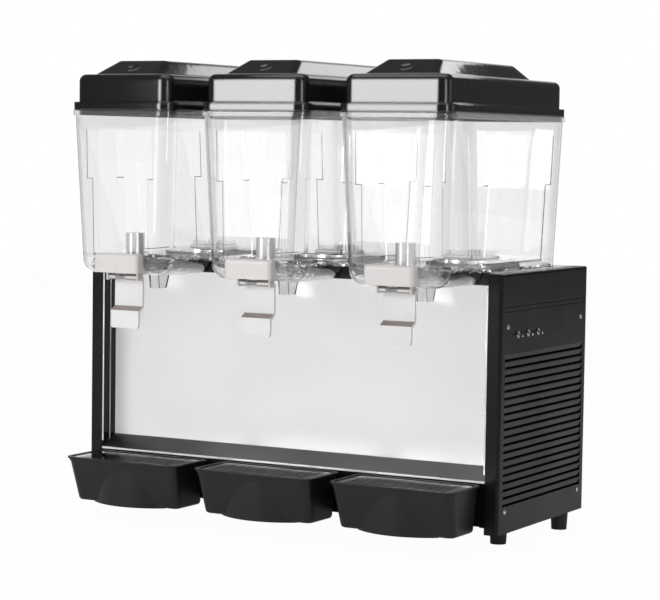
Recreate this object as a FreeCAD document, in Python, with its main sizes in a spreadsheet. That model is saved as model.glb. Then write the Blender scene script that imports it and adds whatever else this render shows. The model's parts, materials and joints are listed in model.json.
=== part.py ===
import FreeCAD, Part
import math
import os

import Sketcher

# Chilled juice dispenser with three bowls side by side on one cabinet.
# Millimetres. X runs along the row of bowls, Y from the taps to the back and
# Z up. The origin lies on the floor, midway between the tap fronts and the
# back of the cabinet.

DRIVING_SIZES = [
    # cabinet
    ("bodyWidth", 660, "across the two side panels"),
    ("cabinetDepth", 292, "side panels, front to back"),
    ("tapReach", 108, "tap covers in front of the side panels"),
    ("footHeight", 25, "clear height under the cabinet"),
    ("footRadius", 12.5, "foot where it meets the cabinet"),
    ("footTaper", 1.5, "foot radius lost towards the floor"),
    ("footInset", 37, "front foot axis from the side of the cabinet"),
    ("footFrontInset", 84, "front foot axis behind the cabinet front"),
    ("footRearSide", 15, "rear foot axis from the side of the cabinet"),
    ("footRearInset", 49, "rear foot axis in front of the cabinet back"),
    ("sillWidth", 50, "foot rail along the bottom of a side panel"),
    ("sillStart", 50, "foot rail behind the cabinet front"),
    ("deckHeight", 375, "top of the steel deck"),
    ("deckApron", 17, "front fold of the deck"),
    ("sheet", 1.2, "stainless sheet"),
    ("panelWall", 3, "moulded side panel wall"),
    ("postWidth", 20, "front post and rear flange of a side panel"),
    ("panelRound", 4, "outer edges of a side panel"),
    ("frontSetback", 28, "mirror panel behind the cabinet front"),
    ("frontPanelFoot", 114, "where the mirror panel folds forward"),
    ("ledgeHeight", 97, "front edge of the folded ledge"),
    ("ledgeLip", 3, "down-turned edge of the ledge"),
    ("ledgeInset", 1, "ledge edge behind the cabinet front"),
    ("lowerPanelFoot", 35, "bottom of the black lower panel"),
    ("lowerPanelWall", 1.5, "black lower panel"),
    ("panWall", 1.5, "base pan sheet"),
    ("panLip", 14, "upturned edge of the base pan"),
    ("rearRecess", 3, "rear panel inside the side panels"),
    ("ventFoot", 124, "lowest vent slot of the rear panel"),
    ("ventPitch", 10.3, "vent slot spacing"),
    ("ventSlot", 3.9, "height of a vent slot"),
    ("ventWidth", 107, "length of a vent slot"),
    ("ventSpread", 161, "centre to centre of the vent columns"),
    ("fitGap", 0.3, "gap between pieces that are set against each other"),
    # louvres, grooves and screws of the side panels
    ("louvreFoot", 62, "lowest louvre"),
    ("louvrePitch", 10.3, "louvre spacing"),
    ("louvreEnd", 14, "plain border before and behind the louvres"),
    ("louvreSlot", 2.6, "open slot of a louvre"),
    ("louvreRise", 8.6, "height of a louvre's sloping face"),
    ("louvreDepth", 1.6, "depth of a louvre's sloping face"),
    ("grooveHeight", 324, "lower one of the two long grooves"),
    ("groovePitch", 6, "spacing of the two grooves"),
    ("grooveWidth", 1.8, "groove width"),
    ("grooveDepth", 1, "groove depth"),
    ("grooveEnd", 8, "plain border before and behind the grooves"),
    ("screwInset", 22, "panel screws from the front and back edges"),
    ("screwHigh", 304, "upper panel screws"),
    ("screwLow", 55, "lower panel screws"),
    ("screwHeadRadius", 3.6, "panel screw head"),
    ("screwHeadHeight", 1.5, "panel screw head"),
    ("screwRadius", 2, "panel screw shank"),
    ("screwLength", 9, "panel screw shank"),
    ("screwPlay", 0.15, "shank in its hole"),
    # toggle switches
    ("switchFirst", 52, "first switch behind the cabinet front"),
    ("switchPitch", 33, "switch spacing"),
    ("switchHeight", 292, "switch axis"),
    ("switchBush", 3, "bush radius"),
    ("switchBore", 2.2, "bore of the bush"),
    ("switchProud", 3, "bush in front of the panel"),
    ("switchBody", 18, "switch body behind the panel"),
    ("switchTall", 20, "switch body height"),
    ("switchThick", 12, "switch body width"),
    ("switchNut", 4.6, "nut radius"),
    ("leverReach", 8.5, "toggle from its pivot to its tip"),
    ("leverTip", 1.6, "toggle radius at the tip"),
    ("leverBall", 1.75, "toggle ball at the pivot"),
    ("leverRoot", 1.1, "toggle radius at the pivot"),
    ("leverPivot", 0.8, "toggle pivot outside the panel face"),
    ("leverPin", 0.7, "radius of the pin that the toggle turns on"),
    ("leverTilt", 12, "toggle below level when off, degrees"),
    # one station
    ("stationPitch", 215, "centre to centre of the bowls"),
    ("plateBack", 150, "cold plate centre behind the cabinet front"),
    ("plateRadius", 58, "cold plate"),
    ("plateRise", 13, "cold plate above the deck"),
    ("plateWall", 1.5, "cold plate sheet"),
    ("plateFlange", 5, "cold plate flange beyond its wall"),
    ("plateRound", 2.5, "cold plate shoulder"),
    ("plateHole", 56.6, "hole in the deck under a cold plate"),
    ("pivotRadius", 3, "stirrer pivot"),
    ("pivotHeight", 10, "stirrer pivot above the cold plate"),
    ("runningFit", 0.08, "radial play of a turning fit"),
    ("stirrerRadius", 36, "stirrer disc"),
    ("stirrerDisc", 3, "stirrer disc thickness"),
    ("stirrerHub", 9, "stirrer hub radius"),
    ("stirrerBlade", 8, "stirrer blade height"),
    ("bladeThick", 3, "stirrer blade thickness"),
    ("bladeInset", 4, "stirrer blade tip inside the disc edge"),
    ("bladeStart", 20, "first stirrer blade from the X axis, degrees"),
    ("liftGap", 0.5, "stirrer above the cold plate"),
    ("magnetRadius", 36, "drive magnet"),
    ("magnetThick", 5, "drive magnet"),
    ("magnetTop", 10.8, "drive magnet top above the deck"),
    ("motorRadius", 28, "stirrer motor"),
    ("motorLength", 36, "stirrer motor"),
    ("bracketDrop", 12, "motor bracket under the deck"),
    ("bracketThick", 2, "motor bracket"),
    ("bracketHalf", 48, "motor bracket half width"),
    ("bracketPost", 4, "motor bracket post radius"),
    ("gasketRadius", 64.6, "bowl gasket"),
    ("gasketTop", 7, "bowl gasket above the deck"),
    ("bowlHole", 65, "hole in the bowl floor"),
    # bowl
    ("bowlTop", 586, "top of the bowl rim"),
    ("rimWidth", 171, "bowl rim, left to right"),
    ("rimReach", 103.5, "bowl rim in front of the cabinet front"),
    ("rimTail", 9.5, "bowl rim short of the cabinet back"),
    ("rimThick", 6, "bowl rim band"),
    ("rimOver", 1.5, "bowl rim beyond the wall"),
    ("bowlWall", 3, "bowl wall and floor"),
    ("rimCorner", 20, "bowl rim corners"),
    ("bowlCorner", 22, "bowl corners and bottom edges"),
    ("draftSide", 10.5, "each side wall, top to bottom"),
    ("draftFront", 9, "front wall, top to bottom"),
    ("draftBack", 3, "back wall, top to bottom"),
    ("sumpFoot", 357, "underside of the bowl in front of the deck"),
    ("reliefDepth", 1.2, "stepped relief panels"),
    ("reliefTop", 560, "top of the relief panels"),
    ("reliefStep", 492, "where the relief panels step in"),
    ("reliefFoot", 386, "bottom of the relief panels"),
    ("reliefHalf", 55, "front relief half width above the step"),
    ("reliefNotch", 9, "step of the front relief panel"),
    ("reliefSideNotch", 18, "step of the side relief panels"),
    ("reliefFront", 10, "side relief start behind the cabinet front"),
    ("reliefBack", 57, "side relief end in front of the cabinet back"),
    ("keelHalf", 8.5, "locating keel half width"),
    ("keelReach", 10, "locating keel in front of the cabinet front"),
    ("keelDepth", 31, "locating keel, front to back"),
    ("keelDrop", 23, "locating keel under the bowl"),
    ("keelWall", 2, "locating keel wall"),
    ("keelTaperFront", 3.3, "locating keel front, top to bottom"),
    ("keelTaperBack", 10, "locating keel back, top to bottom"),
    # lid
    ("lidShy", 1, "lid skirt inside the edge of the bowl rim"),
    ("lidSkirt", 12, "lid skirt height"),
    ("lidInset", 6.3, "lid body inside its skirt"),
    ("lidCorner", 15, "lid body corners"),
    ("lidShoulder", 10, "lid body top edges"),
    ("lidBodyTop", 637.5, "flat top of the lid body"),
    ("lidWall", 2.5, "lid wall"),
    ("lidLip", 6, "locating lip inside the bowl"),
    ("lidLipPlay", 0.7, "lip inside the bowl wall"),
    ("humpTop", 658, "top of the hump"),
    ("humpLedge", 23, "flat ledge beside the hump"),
    ("humpStart", 8, "foot of the hump's front slope behind the lid body's front"),
    ("humpEnd", 50, "foot of the hump's back slope before the lid body's back"),
    ("humpRun", 15, "hump slope at the sides"),
    ("humpRunFront", 43, "hump slope at the front"),
    ("humpRunBack", 36, "hump slope at the back"),
    ("humpCorner", 12, "hump corners"),
    ("humpRound", 9, "hump top edges"),
    ("scoopRadius", 40, "finger scoop in the front slope"),
    ("scoopDepth", 1.4, "finger scoop"),
    # tap
    ("coverHalf", 37.3, "tap cover half width"),
    ("coverFoot", 360, "underside of the tap cover"),
    ("coverTop", 387, "top of the tap cover"),
    ("coverWall", 2.5, "tap cover wall"),
    ("coverRound", 6, "tap cover corners"),
    ("coverCrown", 5, "tap cover top edges"),
    ("coverTail", 70, "tap cover block end in front of the cabinet"),
    ("pinReach", 84, "lever pin in front of the cabinet front"),
    ("pinHeight", 354, "lever pin"),
    ("pinRadius", 2, "lever pin"),
    ("pinHead", 1, "lever pin beyond the ears"),
    ("pinPlay", 0.05, "pin in the ears"),
    ("earThick", 3, "pin ears"),
    ("earHalf", 6, "pin ear half depth"),
    ("earDrop", 5, "pin ear below the pin"),
    ("paddleHalf", 23.4, "paddle half width"),
    ("paddleThick", 3.5, "paddle plates"),
    ("paddleReach", 73, "upper plate in front of the cabinet front"),
    ("paddleStep", 10, "lower plate in front of the upper one"),
    ("stepTop", 312, "top of the step"),
    ("stepFoot", 306, "bottom of the step"),
    ("paddleFoot", 281, "bottom of the paddle"),
    ("paddleCorner", 4, "paddle corners"),
    ("hubRadius", 4.5, "lever hub"),
    ("webTop", 1, "lever web below the pin axis"),
    ("forkFoot", 345.5, "underside of the fork"),
    ("forkThick", 3.2, "fork tines"),
    ("tineWidth", 5, "fork tines"),
    ("valveReach", 57, "valve axis in front of the cabinet front"),
    ("valveRadius", 13.3, "valve tube"),
    ("valveTop", 415, "top of the valve tube"),
    ("valveWall", 1.5, "valve tube wall"),
    ("stemRadius", 3, "valve stem"),
    ("stemFoot", 343, "bottom of the valve stem"),
    ("collarRadius", 5.5, "collar on the stem"),
    ("collarThick", 2, "collar on the stem"),
    ("portRadius", 7, "outlet hole in the bowl floor"),
    ("stemPlay", 1.6, "fork tine beside the stem"),
    ("springMean", 3.3, "lever spring, middle of the wire"),
    ("springWire", 0.6, "lever spring wire radius"),
    ("springPitch", 1.8, "lever spring turns"),
    ("springLeft", 11.5, "lever spring start left of the centre"),
    # drip tray
    ("trayWidth", 188.6, "tray rim, left to right"),
    ("trayReach", 95, "tray rim in front of the cabinet front"),
    ("trayGap", 4, "tray rim in front of the ledge"),
    ("trayTop", 93, "tray rim"),
    ("trayFoot", 29, "underside of the tray"),
    ("trayWall", 2.5, "tray wall and floor"),
    ("trayLip", 3, "tray rim beyond the wall"),
    ("trayRim", 2.5, "tray rim thickness"),
    ("trayDraft", 5, "each side wall, top to bottom"),
    ("trayDraftFront", 18, "front wall, top to bottom"),
    ("trayDraftBack", 1.5, "back wall, top to bottom"),
    ("trayCorner", 11, "tray corners"),
    ("trayHeel", 5, "bottom edges of the tray"),
    ("archRadius", 92, "upright swelling on the tray front"),
    ("archReach", 89, "swelling in front of the cabinet front"),
    ("archHalf", 60, "half width that holds the swelling"),
    ("archDeep", 27, "swelling, front to back"),
    ("archFoot", 27.5, "underside of the swelling"),
    ("grilleHalf", 86, "grille half width"),
    ("grilleReach", 87, "grille in front of the cabinet front"),
    ("grilleBack", 11, "grille back edge in front of the cabinet"),
    ("grilleThick", 1.5, "grille"),
    ("grilleTop", 92, "top of the grille"),
    ("grilleCorner", 8, "grille corners"),
    ("shelfThick", 3.5, "shelf under the grille"),
    ("shelfWidth", 6, "shelf under the grille"),
    ("slotWidth", 4.4, "grille slot"),
    ("slotPitch", 9.6, "grille slot spacing"),
    ("slotSpan", 148, "grille slot length"),
    ("slotWave", 3.4, "sideways swing of a slot"),
    ("pegRadius", 3, "tray peg"),
    ("pegHeadRadius", 5, "peg head behind the lower panel"),
    ("pegHead", 1.5, "peg head behind the lower panel"),
    ("pegSpread", 55, "tray pegs from the station centre"),
    ("pegHeight", 74, "tray pegs"),
    ("pegLength", 16, "tray pegs"),
    ("pegPlay", 0.3, "peg in its hole"),
    # machinery
    ("compressorInset", 150, "compressor axis from the left side of the cabinet"),
    ("compressorBack", 165, "compressor behind the cabinet front"),
    ("compressorRadius", 62, "compressor shell"),
    ("compressorTop", 158, "top of the compressor"),
    ("compressorRound", 20, "compressor shoulder"),
    ("compressorFeet", 12, "compressor above the pan"),
    ("compressorPlate", 3, "compressor foot plate"),
    ("mountRadius", 8.8, "rubber mount under the foot plate"),
    ("mountSpread", 53, "rubber mounts from the compressor axis"),
    ("condenserInset", 115, "near face of the condenser from the right side of the cabinet"),
    ("condenserThick", 44, "condenser along the air flow"),
    ("condenserFront", 60, "condenser behind the cabinet front"),
    ("condenserWidth", 190, "condenser, front to back"),
    ("condenserTop", 235, "top of the condenser"),
    ("finPitch", 9, "condenser fins"),
    ("finGap", 5, "gap between condenser fins"),
    ("finDepth", 16, "depth of the gaps between fins"),
    ("fanHeight", 132, "fan axis"),
    ("fanClear", 23, "near face of the fan hub before the condenser"),
    ("fanHub", 17, "fan hub radius"),
    ("fanThick", 15, "fan hub length"),
    ("fanRadius", 80, "fan blade tip"),
    ("fanBlade", 27, "fan blade width"),
    ("fanBladeBack", 10.5, "fan blade root behind the near face of the hub"),
    ("fanPitch", 24, "fan blade twist, degrees"),
    ("fanMotorRadius", 25, "fan motor"),
    ("fanMotorLength", 42, "fan motor"),
    ("fanStand", 17, "fan stand along the shaft"),
    ("fanGap", 4, "fan motor to fan hub"),
    ("tubeRadius", 3.4, "refrigerant tube"),
    ("legRadius", 2.8, "tube from an evaporator ring down to the header"),
    ("headerRadius", 4.6, "suction header"),
    ("tubeBend", 8, "tube bends"),
    ("capillaryRadius", 1.5, "capillary tube"),
    ("drierRadius", 9, "filter drier"),
    ("drierLength", 70, "filter drier"),
    ("capillaryRun", 35, "straight capillary beyond the drier"),
    ("headerHeight", 315, "suction header"),
    ("headerEnd", 8, "suction header beyond the outer legs"),
    ("dischargeHeight", 262, "discharge tube"),
    ("liquidHeight", 290, "liquid tube"),
    ("coilRise", 7.7, "evaporator ring above the deck"),
    ("portOffset", 20, "compressor ports from its axis"),
    ("boxHalf", 60, "control box half width"),
    ("boxDepth", 46, "control box, front to back"),
    ("boxFoot", 200, "control box underside"),
    ("boxTop", 282, "control box top"),
    ("inletInset", 90, "mains inlet from the right side of the cabinet"),
    ("inletHeight", 62, "mains inlet axis"),
    ("inletHalf", 25, "mains inlet flange half width"),
    ("inletHalfTall", 15, "mains inlet flange half height"),
    ("inletBody", 22, "mains inlet body half width"),
    ("inletBodyTall", 12.5, "mains inlet body half height"),
    ("inletDeep", 26, "mains inlet body depth"),
    ("socketHalf", 12, "socket mouth half width"),
    ("socketHalfTall", 8, "socket mouth half height"),
    ("socketDeep", 15, "socket mouth depth"),
    ("socketPinSpread", 6.6, "centre to centre of the inlet's contacts"),
    ("socketPinHalf", 1, "contact half width"),
    ("socketPinFoot", 3.2, "contact from the socket axis down"),
    ("socketPinTop", 0.8, "contact from the socket axis up"),
]

LOUVRES = 20
STATIONS = 3
SWITCHES = 3
FAN_BLADES = 5
STIRRER_BLADES = 4
SPRING_TURNS = 8
GRILLE_SLOTS = 7
REAR_SLOTS = 12
SPRING_POINTS = 36

# Cutters and joined pieces reach this far past the face they meet
PAST = 1
# Two heights that differ by less are the same height
SAME = 1e-3

doc = FreeCAD.newDocument("JuiceDispenser")
table = doc.addObject("Spreadsheet::Sheet", "Sizes")
nodes = []


class Size:
    """A length that carries both its number and the expression that gives it."""

    def __init__(self, text, value):
        self.text = text
        self.value = float(value)

    def __add__(self, other):
        other = size(other)
        return Size(f"({self.text} + {other.text})", self.value + other.value)

    def __sub__(self, other):
        other = size(other)
        return Size(f"({self.text} - {other.text})", self.value - other.value)

    def __mul__(self, other):
        other = size(other)
        return Size(f"({self.text} * {other.text})", self.value * other.value)

    def __truediv__(self, other):
        other = size(other)
        return Size(f"({self.text} / {other.text})", self.value / other.value)

    def __neg__(self):
        return Size(f"(0 - {self.text})", -self.value)

    def __radd__(self, other):
        return size(other) + self

    def __rsub__(self, other):
        return size(other) - self

    def root(self):
        return Size(f"sqrt({self.text})", math.sqrt(self.value))


def size(value):
    """Any number as a Size."""
    if isinstance(value, Size):
        return value
    return Size(repr(float(value)), value)


def fill_table():
    """Write the driving sizes to the spreadsheet, one named cell each."""
    sizes = {}
    for row, (alias, number, note) in enumerate(DRIVING_SIZES, start=1):
        table.set(f"A{row}", alias)
        table.set(f"B{row}", str(number))
        table.set(f"C{row}", note)
        table.setAlias(f"B{row}", alias)
        sizes[alias] = Size(f"Sizes.{alias}", number)
    doc.recompute()
    return sizes


class Sizes:
    """The driving sizes as attributes."""

    def __init__(self, sizes):
        self.__dict__.update(sizes)


s = Sizes(fill_table())

# Planes that many pieces share
FRONT = (s.tapReach - s.cabinetDepth) / 2
BACK = (s.tapReach + s.cabinetDepth) / 2
SIDE = s.bodyWidth / 2
INSIDE = SIDE - s.postWidth - s.fitGap
MIRROR = FRONT + s.frontSetback
PAN_FOOT = s.footHeight + s.panelWall + s.fitGap
PAN_TOP = PAN_FOOT + s.panWall
PAN_FRONT = FRONT + s.sillStart
LEDGE = FRONT + s.ledgeInset
LEDGE_SLOPE = (s.frontPanelFoot - s.ledgeHeight) / (MIRROR - LEDGE)
LEDGE_DROP = s.sheet * ((LEDGE_SLOPE * LEDGE_SLOPE + 1).root() - LEDGE_SLOPE)
LOWER_PANEL = LEDGE + s.sheet + s.fitGap
TRAY_BACK = LEDGE - s.trayGap
REAR_PANEL = BACK - s.rearRecess - s.sheet
PLATE_Y = FRONT + s.plateBack
BOWL_FLOOR = s.deckHeight + s.fitGap
SUMP_TOP = s.sumpFoot + s.bowlWall
LID_FOOT = s.bowlTop + s.fitGap
PIN_Y = FRONT - s.pinReach
VALVE_Y = FRONT - s.valveReach
COMPRESSOR_X = s.compressorInset - SIDE
CONDENSER_X = SIDE - s.condenserInset
FAN_X = CONDENSER_X - s.fanClear
INLET_X = SIDE - s.inletInset


# Helpers that bind an object to the table

def bind(item, **values):
    """Tie properties of an object to sizes."""
    for name, value in values.items():
        item.setExpression(name, size(value).text)
    return item


def at(item, x=0, y=0, z=0):
    """Tie an object's position to sizes."""
    base = FreeCAD.Vector(size(x).value, size(y).value, size(z).value)
    item.Placement = FreeCAD.Placement(base, item.Placement.Rotation)
    for axis, value in (("x", x), ("y", y), ("z", z)):
        item.setExpression(f"Placement.Base.{axis}", size(value).text)
    return item


def box(name, x, y, z):
    """A block between a low and a high plane on each axis."""
    item = doc.addObject("Part::Box", name)
    low = [size(pair[0]) for pair in (x, y, z)]
    high = [size(pair[1]) for pair in (x, y, z)]
    span = [top - foot for foot, top in zip(low, high)]
    bind(item, Length=span[0], Width=span[1], Height=span[2])
    return at(item, *low)


TURNS = {
    "Z": FreeCAD.Rotation(),
    "X": FreeCAD.Rotation(FreeCAD.Vector(0, 1, 0), 90),
    "Y": FreeCAD.Rotation(FreeCAD.Vector(1, 0, 0), -90),
}


def cylinder(name, centre, radius, length, axis="Z"):
    """A round bar that starts at centre and runs along an axis."""
    item = doc.addObject("Part::Cylinder", name)
    item.Placement = FreeCAD.Placement(FreeCAD.Vector(), TURNS[axis])
    bind(item, Radius=radius, Height=length)
    return at(item, *centre)


def cone(name, centre, foot_radius, top_radius, length, axis="Z"):
    """A tapered round bar that starts at centre and runs along an axis."""
    item = doc.addObject("Part::Cone", name)
    item.Placement = FreeCAD.Placement(FreeCAD.Vector(), TURNS[axis])
    bind(item, Radius1=foot_radius, Radius2=top_radius, Height=length)
    return at(item, *centre)


def cut(name, base, *tools):
    """Base without the tools."""
    item = doc.addObject("Part::Cut", name)
    item.Base = base
    item.Tool = tools[0] if len(tools) == 1 else join(name + "Tools", *tools)
    return item


def join(name, *pieces):
    """The pieces fused to one solid."""
    item = doc.addObject("Part::MultiFuse", name)
    item.Shapes = list(pieces)
    return item


def overlap(name, *pieces):
    """What the pieces share."""
    item = doc.addObject("Part::MultiCommon", name)
    item.Shapes = list(pieces)
    return item


def group(name, *pieces):
    """Separate solids kept as one item."""
    item = doc.addObject("Part::Compound", name)
    item.Links = list(pieces)
    return item


def fixed(name, shape):
    """A shape made from curves, as an item."""
    item = doc.addObject("Part::Feature", name)
    item.Shape = shape
    return item


def node(item, label):
    """Keep an item as a sub-part under its own name."""
    item.Label = label
    nodes.append(item)
    return item


# Helpers that make bodies from sketches and features

def origin_plane(body, role):
    """One of a body's own origin planes."""
    return next(f for f in body.Origin.OriginFeatures if f.Role == role)


def sketch(body, name, role, points, offset=0):
    """A closed outline whose corners are tied to sizes."""
    item = body.newObject("Sketcher::SketchObject", name)
    item.AttachmentSupport = [(origin_plane(body, role), "")]
    item.MapMode = "FlatFace"
    item.setExpression("AttachmentOffset.Base.z", size(offset).text)
    corners = [(size(a), size(b)) for a, b in points]
    ends = [FreeCAD.Vector(a.value, b.value, 0) for a, b in corners]
    count = len(ends)
    for i in range(count):
        item.addGeometry(Part.LineSegment(ends[i], ends[(i + 1) % count]), False)
    for i in range(count):
        item.addConstraint(Sketcher.Constraint("Coincident", i, 2, (i + 1) % count, 1))
    for i, corner in enumerate(corners):
        for kind, value in zip(("DistanceX", "DistanceY"), corner):
            which = item.addConstraint(
                Sketcher.Constraint(kind, -1, 1, i, 1, value.value)
            )
            item.renameConstraint(which, f"{kind}{i}")
            item.setExpression(f"Constraints.{kind}{i}", value.text)
    return item


def padded_profile(name, role, points, length, offset=0, centred=False):
    """A body made by padding one outline."""
    body = doc.addObject("PartDesign::Body", name)
    pad = body.newObject("PartDesign::Pad", name + "Pad")
    pad.Profile = sketch(body, name + "Outline", role, points, offset)
    pad.Midplane = centred
    bind(pad, Length=length)
    doc.recompute()
    return body


def turned_profile(name, points, x=0, y=0, z=0):
    """A body made by turning one outline about its own upright axis."""
    body = doc.addObject("PartDesign::Body", name)
    turn = body.newObject("PartDesign::Revolution", name + "Turn")
    outline = sketch(body, name + "Outline", "XZ_Plane", points)
    turn.Profile = outline
    turn.ReferenceAxis = (outline, ["V_Axis"])
    turn.Angle = 360
    at(body, x, y, z)
    doc.recompute()
    return body


def flat_edges(shape, height):
    """Edges that lie at one height."""
    found = []
    for number, edge in enumerate(shape.Edges, start=1):
        box_of = edge.BoundBox
        if abs(box_of.ZMin - height) < SAME and abs(box_of.ZMax - height) < SAME:
            found.append(f"Edge{number}")
    return found


def rising_edges(shape):
    """Edges that climb from one height to another."""
    found = []
    for number, edge in enumerate(shape.Edges, start=1):
        if edge.BoundBox.ZLength > SAME:
            found.append(f"Edge{number}")
    return found


def block(
    name, foot, top, low, high, corner=None, foot_round=False, heel=None, top_round=None
):
    """A tapered block from a low rectangle to a high one, with rounded edges.

    A rectangle is (left, right, front, back). Corner rounds the rising edges,
    and the bottom edges with them if foot_round is set. Heel and top_round
    round the bottom and the top edges by radii of their own.
    """
    body = doc.addObject("PartDesign::Body", name)
    wedge = body.newObject("PartDesign::AdditiveWedge", name + "Wedge")
    wedge.Placement = FreeCAD.Placement(
        FreeCAD.Vector(), FreeCAD.Rotation(FreeCAD.Vector(1, 0, 0), 90)
    )
    bind(wedge, Ymin=foot, Ymax=top)
    bind(wedge, Xmin=low[0], Xmax=low[1], Zmin=-size(low[3]), Zmax=-size(low[2]))
    bind(wedge, X2min=high[0], X2max=high[1])
    bind(wedge, Z2min=-size(high[3]), Z2max=-size(high[2]))
    doc.recompute()
    shape = wedge.Shape
    if corner is not None:
        edges = rising_edges(shape)
        if foot_round:
            edges += flat_edges(shape, size(foot).value)
        rounded = body.newObject("PartDesign::Fillet", name + "Corners")
        rounded.Base = (wedge, edges)
        bind(rounded, Radius=corner)
        doc.recompute()
        shape = rounded.Shape
    for ending, level, radius in (("Heel", foot, heel), ("Shoulders", top, top_round)):
        if radius is not None:
            edges = flat_edges(shape, size(level).value)
            last = body.Tip
            rounded = body.newObject("PartDesign::Fillet", name + ending)
            rounded.Base = (last, edges)
            bind(rounded, Radius=radius)
            doc.recompute()
            shape = rounded.Shape
    return body


def inset(rectangle, amount):
    """A rectangle moved inwards on all sides."""
    left, right, front, back = rectangle
    return (left + amount, right - amount, front + amount, back - amount)


def shrunk(rectangle, side, front, back):
    """A rectangle moved inwards by its own amount at the sides, front and back."""
    left, right, near, far = rectangle
    return (left + side, right - side, near + front, far - back)


def around(centre, half, front, back):
    """A rectangle centred left to right."""
    return (centre - half, centre + half, front, back)


# Cabinet

def side_panel(side, name):
    """Moulded side panel: outer wall, front post, rear flange, top and foot."""
    outer = SIDE * side
    inner = (SIDE - s.panelWall) * side
    post = (SIDE - s.postWidth) * side
    post_inner = (SIDE - s.postWidth + s.panelWall) * side
    post_end = MIRROR + s.panelWall
    outline = [
        (post, FRONT),
        (outer, FRONT),
        (outer, BACK),
        (post, BACK),
        (post, BACK - s.panelWall),
        (inner, BACK - s.panelWall),
        (inner, FRONT + s.panelWall),
        (post_inner, FRONT + s.panelWall),
        (post_inner, post_end),
        (post, post_end),
    ]
    body = padded_profile(
        name + "Shell", "XY_Plane", outline, s.deckHeight - s.footHeight, s.footHeight
    )
    flanges = (
        ("Cap", s.postWidth, FRONT, s.deckHeight - s.panelWall),
        ("Foot", s.postWidth, FRONT, s.footHeight),
        ("Sill", s.sillWidth, FRONT + s.sillStart, s.footHeight),
    )
    for part_name, width, start, foot in flanges:
        plate = body.newObject("PartDesign::AdditiveBox", name + part_name)
        near = outer - width if side > 0 else outer
        bind(plate, Length=width, Width=BACK - start, Height=s.panelWall)
        at(plate, near, start, foot)
    doc.recompute()
    edges = []
    for number, edge in enumerate(body.Shape.Edges, start=1):
        bounds = edge.BoundBox
        on_side = abs(bounds.XMin - outer.value) < SAME and bounds.XLength < SAME
        at_foot = abs(bounds.ZMax - s.footHeight.value) < SAME
        if on_side and not at_foot:
            edges.append(f"Edge{number}")
    last = body.Tip
    rounded = body.newObject("PartDesign::Fillet", name + "Round")
    rounded.Base = (last, edges)
    bind(rounded, Radius=s.panelRound)
    doc.recompute()
    louvres(body, name, side)
    grooves(body, name, side)
    holes = [
        cylinder(
            f"{name}ScrewHole{i}",
            ((SIDE - s.panelWall - PAST) * side if side > 0 else -SIDE - PAST, y, z),
            s.screwRadius + s.screwPlay,
            s.panelWall + 2 * PAST,
            "X",
        )
        for i, (y, z) in enumerate(screw_places())
    ]
    if side > 0:
        holes += [
            cylinder(
                f"{name}SwitchHole{i}",
                (SIDE - s.panelWall - PAST, switch_y(i), s.switchHeight),
                s.switchBush + s.screwPlay,
                s.panelWall + 2 * PAST,
                "X",
            )
            for i in range(SWITCHES)
        ]
    node(cut(name + "Panel", body, *holes), name)


def louvres(body, name, side):
    """A row of sloping louvres, each with an open slot at its foot."""
    outer = SIDE * side
    foot = s.louvreFoot
    outline = [
        ((SIDE + PAST) * side, foot),
        ((SIDE - s.panelWall - PAST) * side, foot),
        ((SIDE - s.panelWall - PAST) * side, foot + s.louvreSlot),
        ((SIDE - s.louvreDepth) * side, foot + s.louvreSlot),
        (outer, foot + s.louvreRise),
        ((SIDE + PAST) * side, foot + s.louvreRise),
    ]
    long_pocket(body, name + "Louvre", outline, s.louvreEnd, s.louvrePitch, LOUVRES)


def grooves(body, name, side):
    """Two long shallow grooves across the panel."""
    foot = s.grooveHeight
    outline = [
        ((SIDE + PAST) * side, foot),
        ((SIDE - s.grooveDepth) * side, foot),
        ((SIDE - s.grooveDepth) * side, foot + s.grooveWidth),
        ((SIDE + PAST) * side, foot + s.grooveWidth),
    ]
    long_pocket(body, name + "Groove", outline, s.grooveEnd, s.groovePitch, 2)


def long_pocket(body, name, outline, end, pitch, count):
    """A pocket along the panel, repeated upwards."""
    profile = sketch(body, name + "Outline", "XZ_Plane", outline, -(FRONT + BACK) / 2)
    pocket = body.newObject("PartDesign::Pocket", name)
    pocket.Profile = profile
    pocket.Midplane = True
    bind(pocket, Length=s.cabinetDepth - end * 2)
    doc.recompute()
    rows = body.newObject("PartDesign::LinearPattern", name + "Row")
    rows.Originals = [pocket]
    rows.Direction = (profile, ["V_Axis"])
    rows.Occurrences = count
    bind(rows, Length=pitch * (count - 1))
    body.Tip = rows
    doc.recompute()


def screw_places():
    """Height and depth of the four screws of a side panel."""
    return [
        (y, z)
        for y in (FRONT + s.screwInset, BACK - s.screwInset)
        for z in (s.screwLow, s.screwHigh)
    ]


def switch_y(index):
    """Place of a switch along the side panel."""
    return FRONT + s.switchFirst + s.switchPitch * index


def panel_screws():
    """Pan-head screws of both side panels."""
    screws = []
    for side in (-1, 1):
        for i, (y, z) in enumerate(screw_places()):
            name = f"Screw{'Left' if side < 0 else 'Right'}{i}"
            head_x = SIDE if side > 0 else -SIDE - s.screwHeadHeight
            shank_x = SIDE - s.screwLength if side > 0 else -SIDE
            head = cylinder(
                name + "Head", (head_x, y, z), s.screwHeadRadius, s.screwHeadHeight, "X"
            )
            shank = cylinder(
                name + "Shank", (shank_x, y, z), s.screwRadius, s.screwLength, "X"
            )
            screws.append(join(name, head, shank))
    node(group("PanelScrews", *screws), "panel_screws")


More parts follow.
